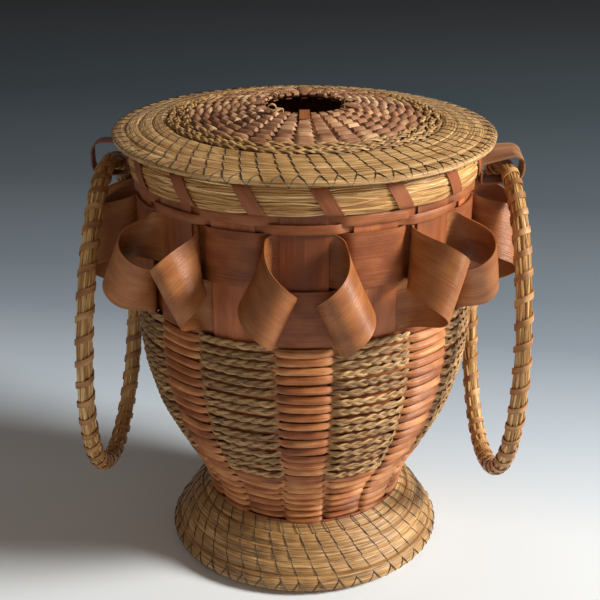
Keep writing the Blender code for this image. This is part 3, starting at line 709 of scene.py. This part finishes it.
# Each row's edges, its first column, how far it goes over, out, in and round, and its shade
BAND_ROWS = {
    "wide_weaver_lower": (0.1470, 0.1742, 0.0, WIDE_HALF, 0.0011, 0.0019, 0.0002, 0.35),
    "wide_weaver_upper":
        (0.1748, 0.2013, COLUMN_PAIR / 2, WIDE_HALF, 0.0011, 0.0019, 0.0002, 0.52),
    "narrow_weaver_lower": (0.2014, 0.2056, 0.0, NARROW_HALF, 0.0010, 0.0010, 0.0004, 0.75),
    "narrow_weaver_upper":
        (0.2049, 0.2096, COLUMN_PAIR / 2, NARROW_HALF, 0.0010, 0.0010, 0.0004, 0.75)}
angle = np.linspace(-math.pi, math.pi, UPRIGHTS * 16 + 1)
across = np.linspace(-0.5, 0.5, 7)
for name, row in BAND_ROWS.items():
    bottom, top, first, over_half, outside, inside, crown, tint = row
    over, bow = over_under(angle, first, over_half, math.radians(2.0))
    stand = over * np.where(over > 0, outside, inside) + BAND_BOW * bow
    crown = crown * (1 - (2 * across) ** 4)
    reach = stand[:, None] + crown * np.clip(over, 0, 1)[:, None]
    rise = (bottom + top) / 2 + across * (top - bottom)
    surface = around(angle[:, None], BAND_RADIUS + reach, rise)
    piece = bend_splint(
        surface, (FULL_TURN * BAND_RADIUS, top - bottom), BAND_THICKNESS, band_splint, tint,
        start=(tint, tint))
    gather(name + "_splint", [piece], "basket", "stained_splint", name)

# Ribbons
# A thin scraped splint, paler and smoother, runs behind an upright, turns once round in the air
# and goes behind the next one, lower down. Two turns mirror each other at every second upright.

RIBBON_WIDTH = 0.026
RIBBON_LENGTH = 0.19
RIBBON_THICKNESS = 0.0005
RIBBON_LAYER = BAND_RADIUS - 0.00095
RIBBON_UPPER = 0.18805
RIBBON_EDGE = math.radians(7.425) * RIBBON_LAYER + 0.0008
RIBBON_STRIPS = 13
CURL_STEPS = 56

ribbon_splint = splint_finish(
    "ribbon_splint", (0.21, 0.062, 0.017), (0.34, 0.120, 0.035), (0.50, 0.215, 0.073), 0.38, 0.26)
# One turn of the ribbon: its radii along the wall and out from it, how much wider the lower edge
# opens, its lean to the pair's upright, how early it runs down, its twist, its heights, its end
Curl = namedtuple("Curl", "side depth flare lean rush twist upper lower shift")
CURLS_IN_VIEW = {
    (0, "right"): Curl(0.0092, 0.0152, 0.016, -0.162, 0.13, -0.107, 0.1882, 0.1602, 0.0009),
    (0, "left"): Curl(0.0090, 0.0149, 0.036, -0.220, 0.043, -0.18, 0.1882, 0.1618, 0.0010),
    (1, "left"): Curl(0.0066, 0.0143, 0.023, -0.205, -0.065, -0.061, 0.1883, 0.1613, 0.0010),
    (1, "right"): Curl(0.0082, 0.0121, -0.076, 0.007, 0.014, -0.052, 0.1882, 0.1604, 0.0046),
    (7, "right"): Curl(0.0063, 0.0134, -0.090, 0.007, 0.010, -0.074, 0.1878, 0.1611, 0.0001),
    (7, "left"): Curl(0.0089, 0.0123, 0.063, 0.040, 0.0, -0.072, 0.1882, 0.1596, 0.0041),
}


def ribbon_strip(curl):
    # Laid out flat first: (run round the wall, height, reach out of the ribbon's layer)
    pitch = UPRIGHT_PITCH * RIBBON_LAYER
    start = np.array((RIBBON_EDGE, curl.upper, 0.0))
    end = np.array((pitch - RIBBON_EDGE + curl.shift, curl.lower, 0.0))
    axis = unit(end - start)
    side = np.array((-axis[1], axis[0], 0.0))
    leaning = np.array((curl.lean, 0.0, 1.0))
    half = RIBBON_WIDTH / 2
    width = np.linspace(-half, half, RIBBON_STRIPS)[:, None]
    opening = 1 + curl.flare * width / half

    def flat(run, height):
        return np.hstack((np.full_like(width, run), height - width, np.zeros_like(width)))

    def on_loop(turn):
        swing = side * curl.side * np.sin(turn)
        return opening * (swing + leaning * curl.depth * (1 - np.cos(turn)))

    strip = []
    for share in np.linspace(0.0, 1.0, 7):
        height = RIBBON_UPPER + (curl.upper - RIBBON_UPPER) * share
        strip.append(flat(RIBBON_EDGE * share, height))
    for share in np.linspace(0.0, 1.0, CURL_STEPS + 1)[1:]:
        turn = FULL_TURN * share
        fair = float(soft((min(turn, FULL_TURN - turn) - 0.7) / 1.1))
        middle = start + (end - start) * (share + curl.rush * math.sin(math.pi * share))
        straight = (axis * -axis[1] - side * side[1] * math.cos(turn)) * width
        lag = width * side[1] / ((curl.side + curl.depth) / 2) * fair
        lag = lag + curl.twist * width / half * math.sin(turn / 2)
        wrapped = axis * -axis[1] * width + on_loop(turn - lag) - on_loop(turn)
        strip.append(middle + on_loop(turn) + straight * (1 - fair) + wrapped * fair)
    for share in np.linspace(0.0, 1.0, 7)[1:]:
        strip.append(flat(end[0] + (pitch - 0.0003 - end[0]) * share, curl.lower))
    return np.array(strip)


ribbon_draw = np.random.default_rng(8)
for index in range(UPRIGHTS // 2):
    turns = {}
    for hand in ("right", "left"):
        loose = ribbon_draw.uniform(-1.0, 1.0, 4)
        usual = Curl(
            0.0092 + 0.0004 * loose[0], 0.0136 + 0.0005 * loose[1], 0.02,
            -0.155 + 0.04 * loose[2], 0.02 + 0.03 * loose[3], -0.03, 0.1881, 0.1610, 0.0002)
        turns[hand] = ribbon_strip(CURLS_IN_VIEW.get((index, hand), usual))
    left = turns["left"] * np.array((-1.0, 1.0, 1.0))
    whole = np.concatenate((left[:0:-1], turns["right"]))
    angle = whole[..., 0] / RIBBON_LAYER + COLUMN_PAIR * index
    surface = around(angle, RIBBON_LAYER + whole[..., 2], whole[..., 1])
    curls = bend_splint(
        surface, (RIBBON_LENGTH, RIBBON_WIDTH), RIBBON_THICKNESS, ribbon_splint,
        ribbon_draw.uniform(0.25, 0.75), closed=False, start=(0.37 * index, 0.05 * index))
    gather(
        "ribbon_curls_%d" % (index + 1), [curls], "basket", "curled_splint",
        "curl_pair_%d" % (index + 1))

# Rim
# A bundle of loose sweetgrass lies outside the upright ends and a splint hoop inside them.
# The lashing draws the bundle in a little at every turn.

RIM_RADIUS = 0.0867
RIM_MIDDLE = 0.2168
RIM_HALF_HEIGHT = 0.0070
RIM_HALF_DEPTH = 0.00200
RIM_STEPS = 208
LASH_FIRST = math.radians(6.3)
BUNDLE_BLADES = 26

strand_grass = grass_finish(
    "strand_grass", (0.22, 0.088, 0.020), (0.50, 0.258, 0.074), (0.92, 0.67, 0.32), 0.42, 1100.0)


def bundle_rings(path, wide, out, half_wide, half_out, blade_radius, seed, core):
    # A closed bundle: a core and a coat of blades that wander a little round it
    rng = np.random.default_rng(seed)
    share = np.arange(len(path)) / len(path) * FULL_TURN
    tubes = [(
        tube_rings(path, wide, out, half_wide * core, half_out * core, 10), True, 0.30, 0.0)]
    for blade in range(BUNDLE_BLADES):
        wander = sum(
            rng.uniform(0.25, 0.6) * np.sin(share * order + rng.uniform(0, FULL_TURN))
            for order in (1, 2, 3, 5, 9, 14))
        spin = FULL_TURN * (blade + wander * 0.75) / BUNDLE_BLADES
        depth = np.sin(share * rng.integers(3, 9) + rng.uniform(0, FULL_TURN))
        depth = 1 - 0.10 * (0.5 + 0.5 * depth)
        middle = path + wide * ((half_wide - blade_radius) * np.cos(spin) * depth)[:, None]
        lift = (half_out - blade_radius * 0.7) * np.sin(spin) * depth
        thick = blade_radius * rng.uniform(0.75, 1.2)
        rings = tube_rings(middle + out * lift[:, None], wide, out, thick, thick, 5)
        tubes.append((rings, True, rng.uniform(0.1, 1.0), 0.05 * blade))
    return tubes


angle = FULL_TURN * np.arange(RIM_STEPS) / RIM_STEPS - math.pi
lash_turn = (angle - LASH_FIRST) / UPRIGHT_PITCH
from_lash = np.abs(lash_turn - np.round(lash_turn)) * UPRIGHT_PITCH * RIM_RADIUS
drawn = 1 - 0.10 * np.exp(-(from_lash / 0.0045) ** 2)
rim_grass = loft_tubes(bundle_rings(
    around(angle, RIM_RADIUS, RIM_MIDDLE), np.tile((0.0, 0.0, 1.0), (RIM_STEPS, 1)),
    around(angle, 1.0, 0.0), RIM_HALF_HEIGHT * drawn, RIM_HALF_DEPTH * drawn,
    blade_radius=0.00072, seed=5, core=0.80), strand_grass)
gather("rim_grass", [rim_grass], "basket", "sweetgrass", "rim_grass_bundle")

# Lashing
# One long splint is wound round the bundle, the upright ends and the inner hoop: down on the
# outside of every gap, in under the bundle, up inside and over the top.

LASH_SLANT = math.radians(3.75)
LASH_WIDTH = 0.0080
LASH_THICKNESS = 0.0005
LASH_STEPS = 44
LASH_INNER, LASH_OUTER = 0.08235, 0.08900
LASH_BOTTOM, LASH_TOP = 0.2101, 0.2244
outside, below, inside, over = (share * UPRIGHT_PITCH for share in (0.22, 0.11, 0.45, 0.22))
through = UPRIGHT_PITCH / 2 - below / 2
up = through + below
lash_corners = np.array((
    (through - outside, LASH_OUTER - 0.0006, LASH_TOP - 0.0008),
    (through - outside * 0.85, LASH_OUTER, LASH_TOP - 0.0026),
    (through - outside / 2, LASH_OUTER + 0.0003, (LASH_TOP + LASH_BOTTOM) / 2),
    (through - outside * 0.15, LASH_OUTER, LASH_BOTTOM + 0.0026),
    (through, LASH_OUTER - 0.0006, LASH_BOTTOM + 0.0006),
    (through + below / 2, LASH_OUTER - 0.0026, LASH_BOTTOM),
    (up, LASH_INNER + 0.0006, LASH_BOTTOM + 0.0002),
    (up + inside * 0.1, LASH_INNER, LASH_BOTTOM + 0.0015),
    (up + inside * 0.9, LASH_INNER, LASH_TOP - 0.0015),
    (up + inside, LASH_INNER + 0.0006, LASH_TOP - 0.0002),
    (up + inside + over / 2, (LASH_INNER + LASH_OUTER) / 2, LASH_TOP + 0.0003)))
wraps = []
for wrap in range(UPRIGHTS):
    turned = UPRIGHT_PITCH * (wrap - 0.5) + LASH_FIRST + LASH_SLANT + math.pi
    wraps.append(lash_corners + (turned, 0.0, 0.0))
wraps = np.concatenate(wraps)
at = np.linspace(0, len(wraps) - 2, UPRIGHTS * LASH_STEPS)
line = np.stack([np.interp(at, np.arange(len(wraps)), column) for column in wraps.T], axis=1)
for _ in range(2):
    line[1:-1] = (line[:-2] + 2 * line[1:-1] + line[2:]) / 4
across = np.linspace(-0.5, 0.5, 4) * LASH_WIDTH / RIM_RADIUS
surface = around(line[:, 0:1] + across, line[:, 1:2], line[:, 2:3])
lashing = bend_splint(
    surface, (0.58, LASH_WIDTH), LASH_THICKNESS, band_splint, tint=0.55, closed=False)
gather("rim_lashing_splint", [lashing], "basket", "stained_splint", "rim_lashing")

# Lid border
# The lid is a flat cone, and its border is a sewn coil like the foot's, with its stitches closer
# together. The lid has settled a little to the front and the right on its rim.

LID_RADIUS = 0.0955
LID_HOLE = 0.0207
LID_RISE = 0.0125
LID_POWER = 0.96
LID_EDGE = 0.2286
LID_TIP = 0.016
LID_ROLL = 0.006
BORDER_THREAD = 0.00052


def lid_height(radius):
    share = (LID_RADIUS - radius) / (LID_RADIUS - LID_HOLE)
    return LID_EDGE + LID_RISE * np.sign(share) * np.abs(share) ** LID_POWER


def tipped(points):
    settled = points.copy()
    settled[..., 2] += LID_TIP * points[..., 1] - LID_ROLL * points[..., 0]
    return settled


def border_profile(along):
    return LID_RADIUS - along, lid_height(LID_RADIUS - along)


def border_lean(angle, outward):
    # The sewer kept the stitches nearly parallel in front
    turn = np.sin(angle)
    return np.radians(5.5 - 8.5 * turn + 5.0 * turn ** 2) * (outward - 1.0)


border_coil = Coil(
    border_profile, 0.0264, rows=4, thickness=0.0038, edge=0.86, lean=border_lean, stitches=68)
border_rings = tipped(wind_coil(border_coil, steps=250, seed=4))
border = loft_tubes([(border_rings, False, 0.55, 4.0)], coil_grass)
gather("lid_grass_border", [border], "lid", "sweetgrass", "lid_border_coil")
border_thread = stitch_lines(border_coil, lift=0.00010, fork=0.0056, under=0.0016, seed=12)
sew("lid_stitches", [tipped(line) for line in border_thread], BORDER_THREAD, "lid")

# Lid weave
# Weathered splint rows are woven on radial ribs in thirty-two columns, with a hole for the yarn,
# and a few rounds of braid lie between them and the border. Some columns have kept paler.

LID_COLUMNS = 32
LID_COLUMN_PAIR = FULL_TURN / 16
LID_INNER_ROWS = 7
LID_PITCH = 0.00463
LID_ROW = 0.78 * LID_PITCH
LID_STAND = 0.0007
LID_BOW = 0.0004
LID_THICKNESS = 0.0005
LID_WEAVE_START = 0.0219
LID_LAST_BRAID = 0.0672
LID_BRAID_STEPS = LID_COLUMNS * 13
COLUMN_TINTS = np.random.default_rng(43).uniform(-0.30, 0.30, LID_COLUMNS)
COLUMN_TINTS[[0, 1, 31, 2]] = 0.34, -0.16, -0.06, 0.10

pale_splint = splint_finish(
    "pale_splint", (0.150, 0.056, 0.026), (0.35, 0.170, 0.086), (0.68, 0.43, 0.230), 0.5, 0.12)


def lid_frame(radius):
    probe = 0.0005
    rise = lid_height(radius + probe) - lid_height(radius - probe)
    way, out = way_and_out(2 * probe, rise)
    return radius, lid_height(radius), way, -out


def lid_row(k, center, crown, first, rng):
    angle = np.linspace(-math.pi, math.pi, LID_COLUMNS * 6 + 1)
    across = np.linspace(-0.5, 0.5, 4)
    over, bow = over_under(
        angle, first, LID_COLUMN_PAIR / 4, math.radians(1.9), LID_COLUMN_PAIR)
    squeeze = 1 - 0.38 * (1 - over ** 2) - 0.2 * (over < 0) * over ** 2
    middle = center + 0.00015 * np.sin(angle * 5 + rng.uniform(0, 6))
    stand = over * LID_STAND + LID_BOW * bow
    crown = crown * (1 - (2 * across) ** 2)
    reach = stand[:, None] + crown * np.abs(over)[:, None]
    width = across * (LID_ROW * squeeze)[:, None]
    surface = tipped(around(angle[:, None], *set_off(*lid_frame(middle), width, reach)))
    column = np.round(angle / LID_COLUMN_PAIR * 2).astype(int) % LID_COLUMNS
    tint = np.clip(rng.uniform(0.15, 0.75) + COLUMN_TINTS[column], 0.0, 1.0)
    return bend_splint(
        surface, (FULL_TURN * center, LID_ROW), LID_THICKNESS, pale_splint, tint,
        start=(0.9 * k, 0.013 * k))


def lid_braid(k, center, first, rng):
    angle = FULL_TURN * np.arange(LID_BRAID_STEPS) / LID_BRAID_STEPS - math.pi
    over, bow = over_under(
        angle, first, LID_COLUMN_PAIR / 3.2, math.radians(1.6), LID_COLUMN_PAIR)
    return plait(
        angle, *lid_frame(np.full(LID_BRAID_STEPS, center)), 0.0009 * over + 0.0006,
        round(FULL_TURN * center / 0.016), (1 - 0.2 * (1 - over ** 2)) * 0.86,
        rng.uniform(0.3, 0.9), 0.3 * k, tipped)


lid_draw = np.random.default_rng(41)
lid_rows = []
lid_braids = []
for k in range(10):
    center = LID_WEAVE_START + LID_PITCH * (k + 0.5)
    if k <= LID_INNER_ROWS:
        lid_rows.append(lid_row(k, center, 0.0012 if k else 0.0003, 0.0, lid_draw))
    else:
        lid_braids += lid_braid(k, center, 0.0, lid_draw)
    center += LID_PITCH / 2
    if k < LID_INNER_ROWS:
        lid_rows.append(lid_row(k + 20, center, 0.0012, LID_COLUMN_PAIR / 2, lid_draw))
    else:
        center = min(center, LID_LAST_BRAID)
        lid_braids += lid_braid(k + 20, center, LID_COLUMN_PAIR / 2, lid_draw)
gather("lid_splint_rows", lid_rows, "lid", "stained_splint", "lid_weave")
gather("lid_braids", [loft_tubes(lid_braids, braid_grass)], "lid", "sweetgrass")

# Rib ends at the yarn hole
# The ribs of the lid end at the hole, where each is folded back under a row.
# A few of them have sprung open, some flat over the rows and some into small curls.

RIB_WIDTH = 0.0026
RIB_THICKNESS = 0.0004
RIB_INNER = LID_HOLE + 0.0008
# By rib: a curl's radius and its side, and how far a flap lies back and how broad it is
SPRUNG_CURLS = {13: (0.0021, -1), 20: (0.0013, 1), 29: (0.0021, 1)}
SPRUNG_FLAPS = {
    0: (0.0110, 1.9), 6: (0.0080, 1.8), 9: (0.0060, 1.4), 25: (0.0050, 1.4), 29: (0.0066, 1.0)}
ribs = []
for k in range(LID_COLUMNS):
    turn = FULL_TURN * k / LID_COLUMNS
    base_radius = np.linspace(LID_HOLE + 0.0455, RIB_INNER, 12)
    curl, roll = SPRUNG_CURLS.get(k, (0.0, 0))
    back, broad = SPRUNG_FLAPS.get(k, (0.0, 1.0))
    radius = [base_radius]
    rise = [lid_height(base_radius) - 0.0002]
    if not curl or back:
        fold = 0.0013 if back else 0.0006
        bend = np.linspace(0.0, math.pi, 9)[1:]
        end = RIB_INNER + (back or 0.004)
        radius += [RIB_INNER - fold * np.sin(bend), [end]]
        rise.append(rise[0][-1] + fold * (1 - np.cos(bend)))
        rise.append([float(lid_height(end)) + (0.0025 if back else 0.0013)])
    path = around(turn, np.concatenate(radius), np.concatenate(rise))
    sideways = np.tile((math.cos(turn), math.sin(turn), 0.0), (len(path), 1))
    if curl:
        # It rolls up towards one side, with its end to the front
        bend = np.linspace(0.0, 1.8 * math.pi, 17)[1:, None]
        ring = np.hstack((roll * curl * np.sin(bend), 0.0 * bend, curl * (1 - np.cos(bend))))
        path = np.vstack((path, path[-1] + ring))
        edge = np.tile((0.0, math.copysign(1.0, math.sin(turn)), 0.0), (len(ring), 1))
        sideways = np.vstack((sideways, edge))
    across = np.linspace(-0.5, 0.5, 3) * RIB_WIDTH * broad
    surface = tipped(path[:, None, :] + across[None, :, None] * sideways[:, None, :])
    tint = 0.95 if curl or k == 0 else 0.5 if back else lid_draw.uniform(0.1, 0.7)
    ribs.append(bend_splint(
        surface, (0.06, RIB_WIDTH), RIB_THICKNESS, band_splint if k == 0 else pale_splint, tint,
        closed=False, start=(0.1 * k, 0.02 * k)))
gather("lid_rib_ends", ribs, "lid", "stained_splint")

# Flange
# A stained splint bent to a hoop and sewn under the lid, which it keeps in the mouth of the
# basket. It is hidden in the photograph, so its size is a guess.

FLANGE_RADIUS = 0.0801
FLANGE_BOTTOM = 0.2122
FLANGE_HEIGHT = 0.016
FLANGE_THICKNESS = 0.0011
angle = np.linspace(-math.pi, math.pi, 97)
rise = np.linspace(FLANGE_BOTTOM, FLANGE_BOTTOM + FLANGE_HEIGHT, 4)
flange = tipped(around(angle[:, None], FLANGE_RADIUS, rise))
flange = bend_splint(
    flange, (0.50, FLANGE_HEIGHT), FLANGE_THICKNESS, band_splint, tint=0.4, start=(5.0, 0.2))
gather("lid_flange", [flange], "lid", "stained_splint", "lid_flange_hoop")

# Hanging hoops
# Each is a bundle of sweetgrass bent into a closed loop and bound with a narrow splint.
# The left one hangs a little closer to the rim and leans out over the curls.

HOOP_HALF_WIDTH = 0.054
HOOP_HALF_HEIGHT = 0.0845
HOOP_DROOP = 0.03
HOOP_YAW = math.radians(5.5)
HOOP_THICKNESS = 0.0042
HOOP_STEPS = 132
WRAP_TURNS = 43
WRAP_WIDTH = 0.0033
WRAP_THICKNESS = 0.0004
# The side it hangs on, its distance from the axis, the height of its top and its lean
HOOPS = {"right": (1, 0.1024, 0.2090, 0.0), "left": (-1, 0.0990, 0.2120, math.radians(3.0))}

wrap_splint = splint_finish(
    "wrap_splint", (0.17, 0.068, 0.022), (0.40, 0.190, 0.070), (0.74, 0.46, 0.205), 0.48, 0.14)


def hoop_points(turn, side, reach, height, lean):
    across = -HOOP_HALF_WIDTH * (np.sin(turn) - HOOP_DROOP * np.sin(2 * turn))
    drop = HOOP_HALF_HEIGHT * (np.cos(turn) - 1)
    outward = reach - across * math.sin(HOOP_YAW) - drop * math.sin(lean)
    rise = height + drop * math.cos(lean)
    return np.stack((side * outward, across * math.cos(HOOP_YAW), rise), axis=-1)


def hoop_frame(turn, hoop):
    probe = 0.01
    ahead = unit(hoop_points(turn + probe, *hoop) - hoop_points(turn - probe, *hoop))
    face = np.broadcast_to((math.cos(HOOP_YAW), hoop[0] * math.sin(HOOP_YAW), 0.0), ahead.shape)
    face = unit(face - ahead * (ahead * face).sum(axis=-1, keepdims=True))
    return ahead, face, np.cross(ahead, face)


for seed, (name, hoop) in enumerate(HOOPS.items(), 51):
    turn = FULL_TURN * np.arange(HOOP_STEPS) / HOOP_STEPS
    ahead, face, inward = hoop_frame(turn, hoop)
    half = np.full(HOOP_STEPS, HOOP_THICKNESS)
    blades = bundle_rings(
        hoop_points(turn, *hoop), face, inward, half, half, blade_radius=0.00066, seed=seed,
        core=0.86)
    gather(
        "hoop_grass_" + name, [loft_tubes(blades, strand_grass)], "handle_" + name, "sweetgrass",
        "handle_core_" + name)
    bare = 0.010 / HOOP_HALF_WIDTH
    loops = np.linspace(0.0, 1.0, WRAP_TURNS * 18 + 1)
    turn = bare + (FULL_TURN - 2 * bare) * loops
    ahead, face, inward = hoop_frame(turn, hoop)
    spin = FULL_TURN * WRAP_TURNS * loops
    out = face * np.cos(spin)[:, None] + inward * np.sin(spin)[:, None]
    middle = hoop_points(turn, *hoop) + out * (HOOP_THICKNESS + 0.00035)
    across = np.linspace(-0.5, 0.5, 3) * WRAP_WIDTH
    surface = middle[:, None, :] + ahead[:, None, :] * across[None, :, None]
    wrap = bend_splint(
        surface, (WRAP_TURNS * 0.028, WRAP_WIDTH), WRAP_THICKNESS, wrap_splint, tint=0.50,
        closed=False, start=(seed, 0.0))
    gather(
        "hoop_wrap_" + name, [wrap], "handle_" + name, "stained_splint", "handle_wrap_" + name)

# Ears
# A doubled splint comes out of the rim on either side and makes the eye that the hoop hangs in.
# It is narrow where it comes through the lashing and spreads to its full width outside.

EAR_SEAT = 0.0889
EAR_SEAT_BACK = 0.0039
EAR_INNER = 0.0059
EAR_THICKNESS = 0.0008
# Its side, the middle of its eye, the lower and upper bends' heights, its width outside, how far
# it reaches to the front at the rim, the sag of its upper strap and its wood
EARS = {
    "right": (1, 0.1050, 0.2090, 0.2136, 0.0145, 0.0115, 0.23, pale_splint),
    "left": (-1, 0.1016, 0.2120, 0.2172, 0.0095, 0.0039, 0.0, band_splint)}
bend = np.linspace(0.0, math.pi / 2, 9)
for name, (side, reach, low, high, ear_width, seat_front, sag, finish) in EARS.items():
    strap = 0.7 * EAR_SEAT + 0.3 * reach
    radius = np.concatenate((
        [EAR_SEAT, EAR_SEAT, strap], reach + EAR_INNER * np.cos(bend[::-1]),
        reach + EAR_INNER * np.cos(bend), [strap, EAR_SEAT, EAR_SEAT]))
    rise = np.concatenate((
        [low, low - EAR_INNER, low - EAR_INNER], low - EAR_INNER * np.sin(bend[::-1]),
        high + EAR_INNER * np.sin(bend), [high + EAR_INNER, high + EAR_INNER, high]))
    spread_out = soft((radius - EAR_SEAT) / (reach - EAR_SEAT))
    front = seat_front + (ear_width / 2 - seat_front) * spread_out
    back = EAR_SEAT_BACK + (ear_width / 2 - EAR_SEAT_BACK) * spread_out
    across = back[:, None] - np.linspace(1.0, 0.0, 5) * (front + back)[:, None]
    path = np.stack((side * radius, np.zeros_like(radius), rise), axis=-1)
    surface = path[:, None, :] + across[..., None] * np.array((0.0, 1.0, 0.0))
    # The upper strap sags to the front, and more so at the rim
    upper = soft((rise - low) / (high + EAR_INNER - low)) * (1 + 0.8 * (1 - spread_out) ** 2)
    surface[..., 2] -= sag * (back[:, None] - across) * upper[:, None]
    ear = bend_splint(
        surface, (0.05, ear_width), EAR_THICKNESS, finish, tint=0.25, closed=False,
        start=(side, 0.0))
    gather("ear_splint_" + name, [ear], "basket", "stained_splint", "ear_" + name)

# Setting
# A pale sheet of paper under and behind the basket. Its colour is painted darker to the back and a
# little to the right, which is painted shade for the light falling off across it. Daylight comes
# from the right and above, and a little light comes back from the left.

bpy.ops.mesh.primitive_plane_add(size=8.0, location=(0.0, 2.0, 0.0))
paper = bpy.context.object
paper.name = "paper"
bpy.ops.object.transform_apply(location=True, rotation=True, scale=True)
paper_painted_shade_finish, tree, shader = new_finish("paper_painted_shade_finish", 0.9)
place = node_at(tree, "ShaderNodeTexCoord").outputs["Object"]
axes = node_at(tree, "ShaderNodeSeparateXYZ", {"Vector": place})
# Painted shade: the paper's colour darkens with distance to the back and a little to the right
distance = weigh(tree, (axes.outputs["Y"], 1.0), (axes.outputs["X"], 0.22))
paper_painted_shade = ramp(tree, spread(tree, distance, -0.10, 2.20), (
    (0.012, (0.81, 0.87, 0.92)), (0.049, (0.80, 0.87, 0.93)), (0.098, (0.55, 0.64, 0.73)),
    (0.166, (0.270, 0.322, 0.393)), (0.210, (0.198, 0.243, 0.291)),
    (0.333, (0.105, 0.134, 0.161)), (0.543, (0.062, 0.087, 0.106)),
    (0.978, (0.055, 0.065, 0.077))))
tree.links.new(paper_painted_shade, shader.inputs["Base Color"])
shader.inputs["Specular IOR Level"].default_value = 0.1
paper.data.materials.append(paper_painted_shade_finish)

world = bpy.data.worlds.new("room")
bpy.context.scene.world = world
world.use_nodes = True
world.node_tree.nodes["Background"].inputs["Color"].default_value = (1.0, 0.83, 0.71, 1.0)
world.node_tree.nodes["Background"].inputs["Strength"].default_value = 0.15

LAMP_AIM = (0.0, 0.0, 0.12)
for name, place, size, watts, color in (
        ("window", (2.0, -0.42, 1.20), 0.6, 91.0, (1.0, 0.965, 0.91)),
        ("wall_bounce", (-0.4, -1.1, 0.6), 1.0, 0.85, (1.0, 0.90, 0.80))):
    lamp = bpy.data.lights.new(name, "AREA")
    lamp.shape = "RECTANGLE"
    lamp.size = lamp.size_y = size
    lamp.energy = watts
    lamp.color = color
    holder = bpy.data.objects.new(name, lamp)
    bpy.context.collection.objects.link(holder)
    holder.location = place
    x, y, z = np.subtract(place, LAMP_AIM)
    holder.rotation_euler = (math.atan2(math.hypot(x, y), z), 0.0, math.atan2(y, x) + math.pi / 2)

# Camera
# At the photograph's place, about six tenths of a metre from the basket and a little above it,
# looking down on its lid.

CAMERA_TILT = math.radians(22)
lens = bpy.data.cameras.new("camera")
lens.lens = 67.8
lens.sensor_width = 36.0
lens.shift_x = -0.0075
camera = bpy.data.objects.new("camera", lens)
bpy.context.collection.objects.link(camera)
camera.location = (0.0, -0.560, 0.362)
camera.rotation_euler = (math.pi / 2 - CAMERA_TILT, 0.0, 0.0)
bpy.context.scene.camera = camera
bpy.context.scene.view_settings.view_transform = "Standard"
